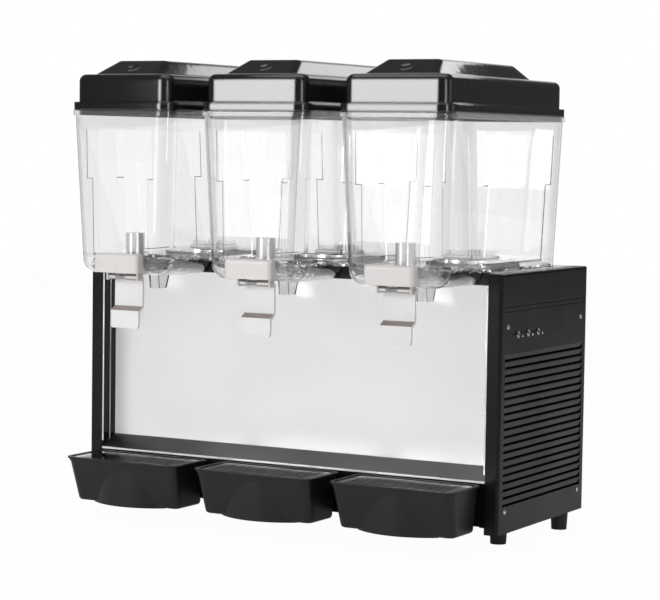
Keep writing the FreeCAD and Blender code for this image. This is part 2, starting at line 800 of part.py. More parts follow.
def front_panel():
    """Mirror panel whose foot folds forward to a ledge with a down-turned lip."""
    outline = [
        (MIRROR, s.deckHeight - s.deckApron - s.fitGap),
        (MIRROR, s.frontPanelFoot),
        (LEDGE, s.ledgeHeight),
        (LEDGE, s.ledgeHeight - s.ledgeLip),
        (LEDGE + s.sheet, s.ledgeHeight - s.ledgeLip),
        (LEDGE + s.sheet, s.ledgeHeight - LEDGE_DROP),
        (MIRROR + s.sheet, s.frontPanelFoot - LEDGE_DROP),
        (MIRROR + s.sheet, s.deckHeight - s.deckApron - s.fitGap),
    ]
    body = padded_profile("FrontPanel", "YZ_Plane", outline, INSIDE * 2, centred=True)
    node(body, "front_panel")


def lower_front_panel():
    """Black panel under the ledge, folded back below, with two riveted pegs a tray."""
    top = s.ledgeHeight - LEDGE_DROP - s.fitGap
    plate = box(
        "LowerPlate",
        (-INSIDE, INSIDE),
        (LOWER_PANEL, LOWER_PANEL + s.lowerPanelWall),
        (s.lowerPanelFoot, top),
    )
    fold = box(
        "LowerFold",
        (-INSIDE, INSIDE),
        (LOWER_PANEL, PAN_FRONT - s.fitGap),
        (s.lowerPanelFoot, s.lowerPanelFoot + s.lowerPanelWall),
    )
    holes = []
    pegs = []
    behind = LOWER_PANEL + s.lowerPanelWall
    for station in range(STATIONS):
        for side in (-1, 1):
            name = f"Peg{station}{side}"
            x = station_x(station) + s.pegSpread * side
            start = (x, LOWER_PANEL - s.pegLength, s.pegHeight)
            seat = (x, behind, s.pegHeight)
            bore = s.pegRadius + s.screwPlay
            length = s.pegLength + s.lowerPanelWall
            shank = cylinder(name + "Shank", start, s.pegRadius, length + PAST, "Y")
            head = cylinder(name + "Head", seat, s.pegHeadRadius, s.pegHead, "Y")
            pegs.append(join(name, shank, head))
            holes.append(cylinder(name + "Hole", start, bore, length + PAST, "Y"))
    sheet = cut("LowerSheet", join("LowerFolded", plate, fold), *holes)
    node(group("LowerPanel", sheet, *pegs), "lower_front_panel")


def top_deck():
    """Steel deck with its front apron and a round hole under each cold plate."""
    plate = box(
        "DeckPlate",
        (-INSIDE, INSIDE),
        (MIRROR, REAR_PANEL + s.sheet),
        (s.deckHeight - s.sheet, s.deckHeight),
    )
    apron = box(
        "DeckApron",
        (-INSIDE, INSIDE),
        (MIRROR, MIRROR + s.sheet),
        (s.deckHeight - s.deckApron, s.deckHeight),
    )
    holes = [
        cylinder(
            f"DeckHole{i}",
            (station_x(i), PLATE_Y, s.deckHeight - s.sheet * 2),
            s.plateHole,
            s.sheet * 4,
        )
        for i in range(STATIONS)
    ]
    node(cut("TopDeck", join("DeckSheet", plate, apron), *holes), "top_deck")


def base_pan():
    """Base pan with upturned front and back edges, lying on the foot rails."""
    front = PAN_FRONT
    back = REAR_PANEL
    outline = [
        (front, PAN_FOOT),
        (back, PAN_FOOT),
        (back, PAN_FOOT + s.panLip),
        (back - s.panWall, PAN_FOOT + s.panLip),
        (back - s.panWall, PAN_TOP),
        (front + s.panWall, PAN_TOP),
        (front + s.panWall, PAN_FOOT + s.panLip),
        (front, PAN_FOOT + s.panLip),
    ]
    body = padded_profile("BasePan", "YZ_Plane", outline, INSIDE * 2, centred=True)
    node(body, "base_pan")


def rear_panel():
    """Rear panel with rows of vent slots and the opening for the mains inlet."""
    sheet_low = REAR_PANEL
    sheet_high = REAR_PANEL + s.sheet
    plate = box(
        "RearPlate",
        (-INSIDE, INSIDE),
        (sheet_low, sheet_high),
        (PAN_FOOT, s.deckHeight - s.sheet - s.fitGap),
    )
    vents = []
    for column in (-1, 0, 1):
        centre = s.ventSpread * column
        for row in range(REAR_SLOTS):
            foot = s.ventFoot + s.ventPitch * row
            vents.append(
                box(
                    f"Vent{column + 1}x{row}",
                    (centre - s.ventWidth / 2, centre + s.ventWidth / 2),
                    (sheet_low - PAST, sheet_high + PAST),
                    (foot, foot + s.ventSlot),
                )
            )
    opening = box(
        "InletOpening",
        (INLET_X - s.inletBody - s.fitGap, INLET_X + s.inletBody + s.fitGap),
        (sheet_low - PAST, sheet_high + PAST),
        (
            s.inletHeight - s.inletBodyTall - s.fitGap,
            s.inletHeight + s.inletBodyTall + s.fitGap,
        ),
    )
    tools = group("RearOpenings", opening, *vents)
    node(cut("RearPanel", plate, tools), "rear_panel")


def feet():
    """Four tapered feet under the foot rails."""
    places = (
        (s.footInset, FRONT + s.footFrontInset),
        (s.footRearSide, BACK - s.footRearInset),
    )
    pieces = []
    for side in (-1, 1):
        for inset_x, y in places:
            pieces.append(
                cone(
                    f"Foot{len(pieces)}",
                    ((SIDE - inset_x) * side, y, 0),
                    s.footRadius - s.footTaper,
                    s.footRadius,
                    s.footHeight,
                )
            )
    node(group("Feet", *pieces), "feet")


def switches():
    """Toggle switches of the right side panel, one for each bowl."""
    bodies = []
    back = SIDE - s.panelWall
    for i in range(SWITCHES):
        y = switch_y(i)
        name = f"Switch{i}"
        case = box(
            name + "Case",
            (back - s.fitGap - s.switchBody, back - s.fitGap),
            (y - s.switchThick / 2, y + s.switchThick / 2),
            (s.switchHeight - s.switchTall / 2, s.switchHeight + s.switchTall / 2),
        )
        bush = cylinder(
            name + "Bush",
            (back - s.fitGap - PAST, y, s.switchHeight),
            s.switchBush,
            s.panelWall + s.fitGap + s.switchProud + PAST,
            "X",
        )
        nut = cylinder(
            name + "Nut",
            (SIDE + s.fitGap, y, s.switchHeight),
            s.switchNut,
            s.switchProud / 2,
            "X",
        )
        bore = cylinder(
            name + "Bore",
            (back, y, s.switchHeight),
            s.switchBore,
            s.panelWall + s.switchProud + PAST,
            "X",
        )
        bodies.append(cut(name + "Body", join(name + "Solid", case, bush, nut), bore))
        toggle(i, y)
    node(group("SwitchBodies", *bodies), "switch_bodies")


def toggle(index, y):
    """Tapered toggle that points slightly down when it is off."""
    ball = s.leverBall.value
    root = s.leverRoot.value
    tip = s.leverTip.value
    neck = math.sqrt(ball * ball - root * root)
    shoulder = s.leverReach.value - tip
    slant = tip * math.sqrt(0.5)

    def spot(across, along):
        return FreeCAD.Vector(across, 0, along)

    edges = [
        Part.Arc(spot(0, -ball), spot(ball, 0), spot(root, neck)),
        Part.LineSegment(spot(root, neck), spot(tip, shoulder)),
        Part.Arc(spot(tip, shoulder), spot(slant, shoulder + slant), spot(0, shoulder + tip)),
        Part.LineSegment(spot(0, shoulder + tip), spot(0, -ball)),
    ]
    face = Part.Face(Part.Wire([edge.toShape() for edge in edges]))
    turned = face.revolve(FreeCAD.Vector(), FreeCAD.Vector(0, 0, 1), 360)
    item = fixed(f"Toggle{index}", turned)
    turn = FreeCAD.Rotation(FreeCAD.Vector(0, 1, 0), 90 + s.leverTilt.value)
    item.Placement = FreeCAD.Placement(FreeCAD.Vector(), turn)
    at(item, SIDE + s.leverPivot, y, s.switchHeight)
    half = s.switchBore - s.screwPlay
    pin = cylinder(
        f"TogglePin{index}",
        (SIDE + s.leverPivot, y - half, s.switchHeight),
        s.leverPin,
        half * 2,
        "Y",
    )
    node(join(f"ToggleLever{index}", item, pin), f"switch_lever_{index + 1}")


# One station

def station_x(index):
    """Centre of a station, left to right."""
    return s.stationPitch * (index - (STATIONS - 1) / 2)


def cold_plate(index, x):
    """Domed cold plate with its flange and the pivot of the stirrer."""
    wall = s.plateWall
    rise = s.plateRise
    inner = s.plateRadius - wall
    outline = [
        (0, rise - wall),
        (inner, rise - wall),
        (inner, 0),
        (s.plateRadius + s.plateFlange, 0),
        (s.plateRadius + s.plateFlange, wall),
        (s.plateRadius, wall),
        (s.plateRadius, rise),
        (s.pivotRadius, rise),
        (s.pivotRadius, rise + s.pivotHeight),
        (0, rise + s.pivotHeight),
    ]
    body = turned_profile(f"ColdPlate{index}", outline, x, PLATE_Y, s.deckHeight)
    shape = body.Tip.Shape
    edges = []
    for number, edge in enumerate(shape.Edges, start=1):
        bounds = edge.BoundBox
        level = abs(bounds.ZMin - rise.value) < SAME and bounds.ZLength < SAME
        if level and abs(bounds.XLength - 2 * s.plateRadius.value) < SAME:
            edges.append(f"Edge{number}")
    last = body.Tip
    rounded = body.newObject("PartDesign::Fillet", f"ColdPlateRound{index}")
    rounded.Base = (last, edges)
    bind(rounded, Radius=s.plateRound)
    doc.recompute()
    node(body, f"cold_plate_{index + 1}")


def stirrer(index, x):
    """Stirrer disc with upright blades, turning on the cold plate's pivot."""
    foot = s.deckHeight + s.plateRise + s.liftGap
    name = f"Stirrer{index}"
    disc = cylinder(name + "Disc", (x, PLATE_Y, foot), s.stirrerRadius, s.stirrerDisc)
    hub = cylinder(
        name + "Hub", (x, PLATE_Y, foot), s.stirrerHub, s.stirrerDisc + s.stirrerBlade
    )
    blades = []
    for i in range(STIRRER_BLADES):
        blade = doc.addObject("Part::Box", f"{name}Blade{i}")
        bind(blade, Length=s.stirrerRadius - s.bladeInset, Width=s.bladeThick)
        bind(blade, Height=s.stirrerBlade)
        angle = 360 * i / STIRRER_BLADES + s.bladeStart.value
        turn = FreeCAD.Rotation(FreeCAD.Vector(0, 0, 1), angle)
        blade.Placement = FreeCAD.Placement(FreeCAD.Vector(), turn)
        blades.append(at(blade, x, PLATE_Y, foot + s.stirrerDisc / 2))
    bore = cylinder(
        name + "Bore",
        (x, PLATE_Y, foot - PAST),
        s.pivotRadius + s.runningFit,
        s.stirrerDisc + s.stirrerBlade + 2 * PAST,
    )
    node(cut(name, join(name + "Solid", disc, hub, *blades), bore), f"stirrer_{index + 1}")


def drive_magnet(index, x):
    """Magnet disc on the motor shaft, under the cold plate."""
    top = s.deckHeight + s.magnetTop
    foot = top - s.magnetThick
    name = f"Magnet{index}"
    disc = cylinder(name + "Disc", (x, PLATE_Y, foot), s.magnetRadius, s.magnetThick)
    hub = cylinder(
        name + "Hub", (x, PLATE_Y, foot - s.magnetThick), s.stirrerHub, s.magnetThick
    )
    bore = cylinder(
        name + "Bore",
        (x, PLATE_Y, foot - s.magnetThick - PAST),
        s.pivotRadius + s.runningFit,
        (s.magnetThick + PAST) * 2,
    )
    node(cut(name, join(name + "Solid", disc, hub), bore), f"drive_magnet_{index + 1}")


def stirrer_motor(index, x):
    """Motor on a bracket that hangs from the deck, with its upright shaft."""
    deck_foot = s.deckHeight - s.sheet
    plate_foot = s.deckHeight - s.bracketDrop
    name = f"Motor{index}"
    case = cylinder(
        name + "Case",
        (x, PLATE_Y, plate_foot - s.motorLength),
        s.motorRadius,
        s.motorLength,
    )
    half = s.bracketHalf
    plate = box(
        name + "Plate",
        (x - half, x + half),
        (PLATE_Y - half, PLATE_Y + half),
        (plate_foot, plate_foot + s.bracketThick),
    )
    inset_half = half - s.bracketPost
    posts = [
        cylinder(
            f"{name}Post{i}{j}",
            (x + inset_half * i, PLATE_Y + inset_half * j, plate_foot),
            s.bracketPost,
            deck_foot - plate_foot,
        )
        for i in (-1, 1)
        for j in (-1, 1)
    ]
    shaft = cylinder(
        name + "Shaft",
        (x, PLATE_Y, plate_foot),
        s.pivotRadius,
        s.bracketDrop + s.magnetTop - PAST,
    )
    node(join(name, case, plate, shaft, *posts), f"stirrer_motor_{index + 1}")


def gaskets():
    """Rubber rings between the cold plates and the bowls."""
    rings = []
    foot = s.deckHeight + s.plateWall + s.fitGap
    for i in range(STATIONS):
        height = s.gasketTop - s.plateWall - s.fitGap
        centre = (station_x(i), PLATE_Y, foot)
        outer = cylinder(f"GasketOuter{i}", centre, s.gasketRadius, height)
        inner = cylinder(f"GasketInner{i}", centre, s.plateRadius + s.fitGap, height)
        rings.append(cut(f"Gasket{i}", outer, inner))
    node(group("Gaskets", *rings), "bowl_gaskets")


def bowl_rectangles(x, amount):
    """Top and bottom rectangles of the bowl, moved in by an amount."""
    half = s.rimWidth / 2 - s.rimOver
    front = FRONT - s.rimReach + s.rimOver
    back = BACK - s.rimTail - s.rimOver
    top = around(x, half, front, back)
    foot = around(x, half - s.draftSide, front + s.draftFront, back - s.draftBack)
    return inset(foot, amount), inset(top, amount)


def bowl_form(name, x, amount, foot, top):
    """The tapered bowl shape, offset inwards by an amount."""
    low, high = bowl_rectangles(x, amount)
    return block(name, foot, top, low, high, s.bowlCorner - amount, foot_round=True)


def bowl_step(name, x, clearance, top):
    """The block that lifts the bowl's rear floor onto the deck."""
    half = s.rimWidth
    return box(
        name,
        (x - half, x + half),
        (MIRROR - s.fitGap * 2 - clearance, BACK),
        (s.sumpFoot - s.keelDrop * 2, top),
    )


def relief_prisms(name, x, amount):
    """Stepped panels pressed into the front and both side walls."""
    half = s.reliefHalf
    notch = s.reliefNotch
    front = [
        (x - half, s.reliefTop),
        (x - half, s.reliefStep),
        (x - half + notch, s.reliefStep),
        (x - half + notch, s.reliefFoot),
        (x + half - notch, s.reliefFoot),
        (x + half - notch, s.reliefStep),
        (x + half, s.reliefStep),
        (x + half, s.reliefTop),
    ]
    near = FRONT + s.reliefFront
    far = BACK - s.reliefBack
    step = s.reliefSideNotch
    side = [
        (near, s.reliefTop),
        (near, s.reliefStep),
        (near + step, s.reliefStep),
        (near + step, s.reliefFoot),
        (far - step, s.reliefFoot),
        (far - step, s.reliefStep),
        (far, s.reliefStep),
        (far, s.reliefTop),
    ]
    reach = -(FRONT - s.rimReach)
    front_prism = padded_profile(
        name + "FrontPrism", "XZ_Plane", front, s.rimReach, reach - s.rimReach / 2
    )
    side_prism = padded_profile(
        name + "SidePrism", "YZ_Plane", side, s.rimWidth * 2, x, centred=True
    )
    low, high = bowl_rectangles(x, amount)
    keep = block(
        name + "Keep",
        s.sumpFoot + amount,
        s.bowlTop,
        low,
        high,
        s.bowlCorner - amount,
        foot_round=True,
    )
    return cut(name, join(name + "Prisms", front_prism, side_prism), keep)


def keel(name, x):
    """Open-bottomed keel under the bowl, in front of the mirror panel."""
    top = s.sumpFoot + s.bowlWall / 2
    foot = s.sumpFoot - s.keelDrop
    front = FRONT - s.keelReach
    back = front + s.keelDepth
    high = around(x, s.keelHalf, front, back)
    low = around(x, s.keelHalf, front + s.keelTaperFront, back - s.keelTaperBack)
    outer = block(name + "Outer", foot, top, low, high)
    inner = block(
        name + "Inner",
        foot - PAST,
        s.sumpFoot,
        inset(low, s.keelWall),
        inset(high, s.keelWall),
    )
    return cut(name, outer, inner)


def bowl(index, x):
    """Clear bowl: rim band, tapered walls with relief panels, floor and sump."""
    name = f"Bowl{index}"
    wall = s.bowlWall
    outer = bowl_form(name + "Outer", x, size(0), s.sumpFoot, s.bowlTop - PAST)
    stepped = cut(
        name + "Stepped", outer, bowl_step(name + "Step", x, size(0), BOWL_FLOOR)
    )
    pressed = cut(
        name + "Pressed", stepped, relief_prisms(name + "Relief", x, s.reliefDepth)
    )
    rim_rectangle = around(
        x, s.rimWidth / 2, FRONT - s.rimReach, BACK - s.rimTail
    )
    rim = block(
        name + "Rim",
        s.bowlTop - s.rimThick,
        s.bowlTop,
        rim_rectangle,
        rim_rectangle,
        s.rimCorner,
    )
    solid = join(name + "Solid", pressed, rim, keel(name + "Keel", x))
    inner = bowl_form(name + "Inner", x, wall, SUMP_TOP, s.bowlTop + PAST)
    cavity = cut(
        name + "Cavity",
        inner,
        bowl_step(name + "Floor", x, wall, BOWL_FLOOR + wall),
    )
    plate_hole = cylinder(
        name + "PlateHole",
        (x, PLATE_Y, s.deckHeight - s.gasketTop),
        s.bowlHole,
        s.gasketTop * 3,
    )
    port = cylinder(
        name + "Port", (x, VALVE_Y, s.sumpFoot - wall), s.portRadius, wall * 3
    )
    node(cut(name, solid, cavity, plate_hole, port), f"bowl_{index + 1}")


def lid(index, x):
    """Black lid: skirt, body with a flat top, long hump on it, hollow underneath."""
    name = f"Lid{index}"
    wall = s.lidWall
    skirt = inset(
        around(x, s.rimWidth / 2, FRONT - s.rimReach, BACK - s.rimTail), s.lidShy
    )
    body = inset(skirt, s.lidInset)
    hump_foot = s.lidBodyTop - wall / 2
    hump_low = (
        body[0] + s.humpLedge,
        body[1] - s.humpLedge,
        body[2] + s.humpStart,
        body[3] - s.humpEnd,
    )
    hump_high = (
        hump_low[0] + s.humpRun,
        hump_low[1] - s.humpRun,
        hump_low[2] + s.humpRunFront,
        hump_low[3] - s.humpRunBack,
    )
    skirt_block = block(
        name + "Skirt",
        LID_FOOT,
        LID_FOOT + s.lidSkirt,
        skirt,
        skirt,
        s.rimCorner - s.lidShy,
    )
    body_block = block(
        name + "Body",
        LID_FOOT,
        s.lidBodyTop,
        body,
        body,
        s.lidCorner,
        top_round=s.lidShoulder,
    )
    hump_block = block(
        name + "Hump",
        hump_foot,
        s.humpTop,
        hump_low,
        hump_high,
        s.humpCorner,
        top_round=s.humpRound,
    )
    low, high = bowl_rectangles(x, s.bowlWall + s.lidLipPlay)
    lip = block(
        name + "Lip",
        s.bowlTop - s.lidLip,
        LID_FOOT + wall,
        high,
        high,
        s.bowlCorner - s.bowlWall - s.lidLipPlay,
    )
    scoop = doc.addObject("Part::Sphere", name + "Scoop")
    bind(scoop, Radius=s.scoopRadius)
    run = s.humpRunFront
    rise = s.humpTop - hump_foot
    slope_length = (run * run + rise * rise).root()
    lift = s.scoopRadius - s.scoopDepth
    at(
        scoop,
        x,
        hump_low[2] + run / 2 - lift * rise / slope_length,
        (hump_foot + s.humpTop) / 2 + lift * run / slope_length,
    )
    inner_body = block(
        name + "InnerBody",
        s.bowlTop - s.lidLip - PAST,
        s.lidBodyTop - wall,
        inset(body, wall),
        inset(body, wall),
        s.lidCorner - wall,
        top_round=s.lidShoulder - wall,
    )
    inside = [
        wall * (slope * slope + rise * rise).root() / rise
        for slope in (s.humpRun, s.humpRunFront, s.humpRunBack)
    ]
    inner_hump = block(
        name + "InnerHump",
        hump_foot - wall * 2,
        s.humpTop - wall,
        shrunk(hump_low, *inside),
        shrunk(hump_high, *inside),
        s.humpCorner - wall,
    )
    solid = join(name + "Solid", skirt_block, body_block, hump_block, lip)
    hollow = join(name + "Hollow", inner_body, inner_hump)
    node(cut(name, solid, scoop, hollow), f"lid_{index + 1}")


def tap_cover(index, x):
    """White tap cover on the bowl's front, open below, with ears for the pin."""
    name = f"Cover{index}"
    front = FRONT - s.tapReach
    back = FRONT - s.coverTail
    outside = around(x, s.coverHalf, front, back)
    shell = block(
        name + "Shell",
        s.coverFoot,
        s.coverTop,
        outside,
        outside,
        s.coverRound,
        top_round=s.coverCrown,
    )
    inside = around(
        x, s.coverHalf - s.coverWall, front + s.coverWall, back + s.coverRound * 2
    )
    cavity = block(
        name + "Cavity",
        s.coverFoot - PAST,
        s.coverTop - s.coverWall,
        inside,
        inside,
        s.coverRound - s.coverWall,
        top_round=s.coverCrown - s.coverWall,
    )
    hollow = cut(name + "Hollow", shell, cavity)
    pieces = [hollow]
    for side in (-1, 1):
        near = s.paddleHalf + s.fitGap
        far = near + s.earThick
        x_pair = (x + near, x + far) if side > 0 else (x - far, x - near)
        pieces.append(
            box(
                f"{name}Ear{side + 1}",
                x_pair,
                (PIN_Y - s.earHalf, PIN_Y + s.earHalf),
                (s.pinHeight - s.earDrop, s.coverFoot + s.coverWall),
            )
        )
        pieces.append(
            box(
                f"{name}Rib{side + 1}",
                x_pair,
                (front + s.coverWall / 2, PIN_Y + s.earHalf),
                (s.coverFoot, s.coverTop - s.coverWall / 2),
            )
        )
    solid = join(name + "Solid", *pieces)
    pin_hole = cylinder(
        name + "PinHole",
        (x - s.coverHalf, PIN_Y, s.pinHeight),
        s.pinRadius + s.pinPlay,
        s.coverHalf * 2,
        "X",
    )
    bowl_shape = bowl_form(name + "BowlShape", x, size(0), s.sumpFoot, s.bowlTop - PAST)
    node(cut(name, solid, pin_hole, bowl_shape), f"tap_cover_{index + 1}")


def tap_pin(index, x):
    """Steel pin of the lever."""
    half = s.paddleHalf + s.fitGap + s.earThick + s.pinHead
    pin = cylinder(
        f"Pin{index}", (x - half, PIN_Y, s.pinHeight), s.pinRadius, half * 2, "X"
    )
    node(pin, f"tap_pin_{index + 1}")


def tap_lever(index, x):
    """Push lever: hub, stepped paddle and the fork that lifts the valve stem."""
    name = f"Lever{index}"
    upper = FRONT - s.paddleReach
    upper_back = upper + s.paddleThick
    lower = upper - s.paddleStep
    web_top = s.pinHeight - s.webTop
    web_foot = web_top - s.paddleThick
    outline = [
        (PIN_Y, web_top),
        (upper_back, web_top),
        (upper_back, s.stepTop - s.paddleThick / 2),
        (lower + s.paddleThick, s.stepFoot - s.paddleThick / 2),
        (lower + s.paddleThick, s.paddleFoot),
        (lower, s.paddleFoot),
        (lower, s.stepFoot),
        (upper, s.stepTop),
        (upper, web_foot),
        (PIN_Y, web_foot),
    ]
    paddle = padded_profile(
        name + "Paddle", "YZ_Plane", outline, s.paddleHalf * 2, x, centred=True
    )
    corners = []
    for number, edge in enumerate(paddle.Shape.Edges, start=1):
        bounds = edge.BoundBox
        at_foot = abs(bounds.ZMax - s.paddleFoot.value) < SAME
        if at_foot and bounds.YLength > PAST and bounds.XLength < SAME:
            corners.append(f"Edge{number}")
    last = paddle.Tip
    rounded = paddle.newObject("PartDesign::Fillet", name + "Corners")
    rounded.Base = (last, corners)
    bind(rounded, Radius=s.paddleCorner)
    doc.recompute()
    hub = cylinder(
        name + "Hub",
        (x - s.paddleHalf, PIN_Y, s.pinHeight),
        s.hubRadius,
        s.paddleHalf * 2,
        "X",
    )
    tines = []
    for side in (-1, 1):
        near = s.stemRadius + s.stemPlay
        far = near + s.tineWidth
        tines.append(
            box(
                f"{name}Tine{side + 1}",
                (x + near, x + far) if side > 0 else (x - far, x - near),
                (upper_back - s.paddleThick / 2, VALVE_Y),
                (s.forkFoot, s.forkFoot + s.forkThick),
            )
        )
    bore = cylinder(
        name + "Bore",
        (x - s.coverHalf, PIN_Y, s.pinHeight),
        s.pinRadius + s.runningFit,
        s.coverHalf * 2,
        "X",
    )
    coil = s.springMean + s.springWire
    window = box(
        name + "SpringWindow",
        (
            x - s.springLeft - s.springWire * 2,
            x - s.springLeft + s.springPitch * SPRING_TURNS + s.springWire * 2,
        ),
        (PIN_Y - s.hubRadius - PAST, PIN_Y + coil + s.springWire),
        (s.pinHeight - s.hubRadius - PAST, s.pinHeight + s.hubRadius + PAST),
    )
    node(
        cut(name, join(name + "Solid", paddle, hub, *tines), bore, window),
        f"tap_lever_{index + 1}",
    )


def valve_plunger(index, x):
    """Steel valve tube, closed on top, with its stem and lifting collar."""
    rim = SUMP_TOP + s.fitGap - s.stemFoot
    top = s.valveTop - s.stemFoot
    collar_foot = s.forkFoot + s.forkThick + s.fitGap - s.stemFoot
    inner = s.valveRadius - s.valveWall
    outline = [
        (0, 0),
        (s.stemRadius, 0),
        (s.stemRadius, collar_foot),
        (s.collarRadius, collar_foot),
        (s.collarRadius, collar_foot + s.collarThick),
        (s.stemRadius, collar_foot + s.collarThick),
        (s.stemRadius, top - s.valveWall),
        (inner, top - s.valveWall),
        (inner, rim),
        (s.valveRadius, rim),
        (s.valveRadius, top),
        (0, top),
    ]
    body = turned_profile(f"Plunger{index}", outline, x, VALVE_Y, s.stemFoot)
    node(body, f"valve_plunger_{index + 1}")


def biarc(start, start_way, end, end_way):
    """Two tangent arcs from one point and direction to another."""
    gap = end - start
    both = start_way + end_way
    a = both.dot(both) - 4
    b = -2 * gap.dot(both)
    c = gap.dot(gap)
    reach = (-b - math.sqrt(b * b - 4 * a * c)) / (2 * a)
    if reach < 0:
        reach = (-b + math.sqrt(b * b - 4 * a * c)) / (2 * a)
    first = start + start_way * reach
    second = end - end_way * reach
    middle = (first + second) * 0.5
    return [arc(start, first, middle), arc(middle, second, end)]


def arc(start, corner, end):
    """The arc that touches both legs of a corner."""
    chord = (start + end) * 0.5
    height = (corner - chord).Length
    half = (end - start).Length / 2
    leg = (corner - start).Length
    radius = half * leg / height
    sagitta = radius - math.sqrt(radius * radius - half * half)
    way = (corner - chord) * (1 / height)
    return Part.Arc(start, chord + way * sagitta, end).toShape()


def least_gap(path, wire):
    """Least gap between the turns of a wound wire, measured on points."""
    spots = path.discretize(Number=SPRING_TURNS * SPRING_POINTS)
    half_turn = SPRING_POINTS // 2
    between = [
        (spots[i] - spots[j]).Length
        for i in range(len(spots))
        for j in range(i + half_turn, len(spots))
    ]
    return min(between) - 2 * wire


def tap_spring(index, x):
    """Wound return spring of the lever, round its pin."""
    mean = s.springMean.value
    pitch = s.springPitch.value
    left = size(x).value - s.springLeft.value
    centre_y = PIN_Y.value
    centre_z = s.pinHeight.value

    def point(turn):
        angle = 2 * math.pi * turn
        return FreeCAD.Vector(
            left + pitch * turn,
            centre_y + mean * math.cos(angle),
            centre_z + mean * math.sin(angle),
        )

    def way(turn):
        angle = 2 * math.pi * turn
        return FreeCAD.Vector(
            pitch,
            -2 * math.pi * mean * math.sin(angle),
            2 * math.pi * mean * math.cos(angle),
        ).normalize()

    edges = []
    for step in range(SPRING_TURNS * 2):
        here = step / 2
        there = (step + 1) / 2
        edges += biarc(point(here), way(here), point(there), way(there))
    path = Part.Wire(edges)
    wire = s.springWire.value
    circle = Part.Wire(Part.Circle(point(0), way(0), wire).toShape())
    coil = path.makePipeShell([circle], True, False)
    if index == 0:
        print("least gap of a spring to itself", round(least_gap(path, wire), 2), "mm")
    node(fixed(f"Spring{index}", coil), f"tap_spring_{index + 1}")


def tray_rectangles(x, amount):
    """Top and bottom rectangles of the tray wall, moved in by an amount."""
    half = s.trayWidth / 2 - s.trayLip
    front = FRONT - s.trayReach + s.trayLip
    back = TRAY_BACK - s.trayLip
    top = around(x, half, front, back)
    foot = around(
        x,
        half - s.trayDraft,
        front + s.trayDraftFront,
        back - s.trayDraftBack,
    )
    return inset(foot, amount), inset(top, amount)


def tray_swelling(name, x, amount, foot):
    """The upright swelling on the tray's leaning front wall."""
    front = FRONT - s.archReach
    column = cylinder(
        name + "Column",
        (x, front + s.archRadius, foot),
        s.archRadius - amount,
        s.trayTop - s.trayRim - foot,
    )
    half = s.archHalf
    keep = box(
        name + "Keep",
        (x - half, x + half),
        (front - PAST, front + s.archDeep),
        (foot, s.trayTop),
    )
    return overlap(name, column, keep)


def drip_tray(index, x):
    """Drip tray: leaning front with its swelling, rim lip and a shelf for the grille."""
    name = f"Tray{index}"
    wall = s.trayWall
    low, high = tray_rectangles(x, size(0))
    outer = block(
        name + "Outer",
        s.trayFoot,
        s.trayTop - s.trayRim / 2,
        low,
        high,
        s.trayCorner,
        heel=s.trayHeel,
    )
    lip = around(x, s.trayWidth / 2, FRONT - s.trayReach, TRAY_BACK)
    rim = block(
        name + "Rim",
        s.trayTop - s.trayRim,
        s.trayTop,
        lip,
        lip,
        s.trayCorner + s.trayLip,
    )
    swelling = tray_swelling(name + "Swelling", x, size(0), s.archFoot)
    solid = join(name + "Solid", outer, rim, swelling)
    low_in, high_in = tray_rectangles(x, wall)
    tub = block(
        name + "Tub",
        s.trayFoot + wall,
        s.trayTop + PAST,
        low_in,
        high_in,
        s.trayCorner - wall,
        heel=s.trayHeel - wall,
    )
    hollow = tray_swelling(name + "Hollow", x, wall, s.trayFoot + wall)
    shelf_top = s.grilleTop - s.grilleThick - s.fitGap
    grille_front = FRONT - s.grilleReach
    grille_back = FRONT - s.grilleBack
    shelf_block = box(
        name + "ShelfBlock",
        (x - s.trayWidth / 2 + s.trayLip * 2, x + s.trayWidth / 2 - s.trayLip * 2),
        (FRONT - s.trayReach + s.trayLip * 2, TRAY_BACK - s.trayLip * 2),
        (shelf_top - s.shelfThick, shelf_top),
    )
    shelf_hole = box(
        name + "ShelfHole",
        (x - s.grilleHalf + s.shelfWidth, x + s.grilleHalf - s.shelfWidth),
        (grille_front + s.shelfWidth, grille_back - s.shelfWidth),
        (shelf_top - s.shelfThick - PAST, shelf_top + PAST),
    )
    pegs = [
        cylinder(
            f"{name}PegHole{side + 1}",
            (x + s.pegSpread * side, TRAY_BACK - s.trayCorner, s.pegHeight),
            s.pegRadius + s.pegPlay,
            s.trayCorner,
            "Y",
        )
        for side in (-1, 1)
    ]
    shelf = cut(name + "Shelf", shelf_block, shelf_hole)
    tray = cut(name + "Shell", solid, tub, hollow, *pegs)
    node(join(name, tray, shelf), f"drip_tray_{index + 1}")


def wavy_slot(x, y):
    """One slot that swings to and fro once along its length."""
    half = s.slotSpan.value / 2
    swing = s.slotWave.value
    width = s.slotWidth.value
    foot = (s.grilleTop - s.grilleThick).value - PAST
    centre_x = size(x).value
    centre_y = size(y).value

    def spot(along, across):
        return FreeCAD.Vector(centre_x + along, centre_y + across, foot)

    low = -width / 2
    high = width / 2
    edges = [
        Part.Arc(spot(-half, low), spot(-half / 2, low - swing), spot(0, low)),
        Part.Arc(spot(0, low), spot(half / 2, low + swing), spot(half, low)),
        Part.Arc(spot(half, low), spot(half + high, 0), spot(half, high)),
        Part.Arc(spot(half, high), spot(half / 2, high + swing), spot(0, high)),
        Part.Arc(spot(0, high), spot(-half / 2, high - swing), spot(-half, high)),
        Part.Arc(spot(-half, high), spot(-half - high, 0), spot(-half, low)),
    ]
    face = Part.Face(Part.Wire([edge.toShape() for edge in edges]))
    return face.extrude(FreeCAD.Vector(0, 0, s.grilleThick.value + 2 * PAST))


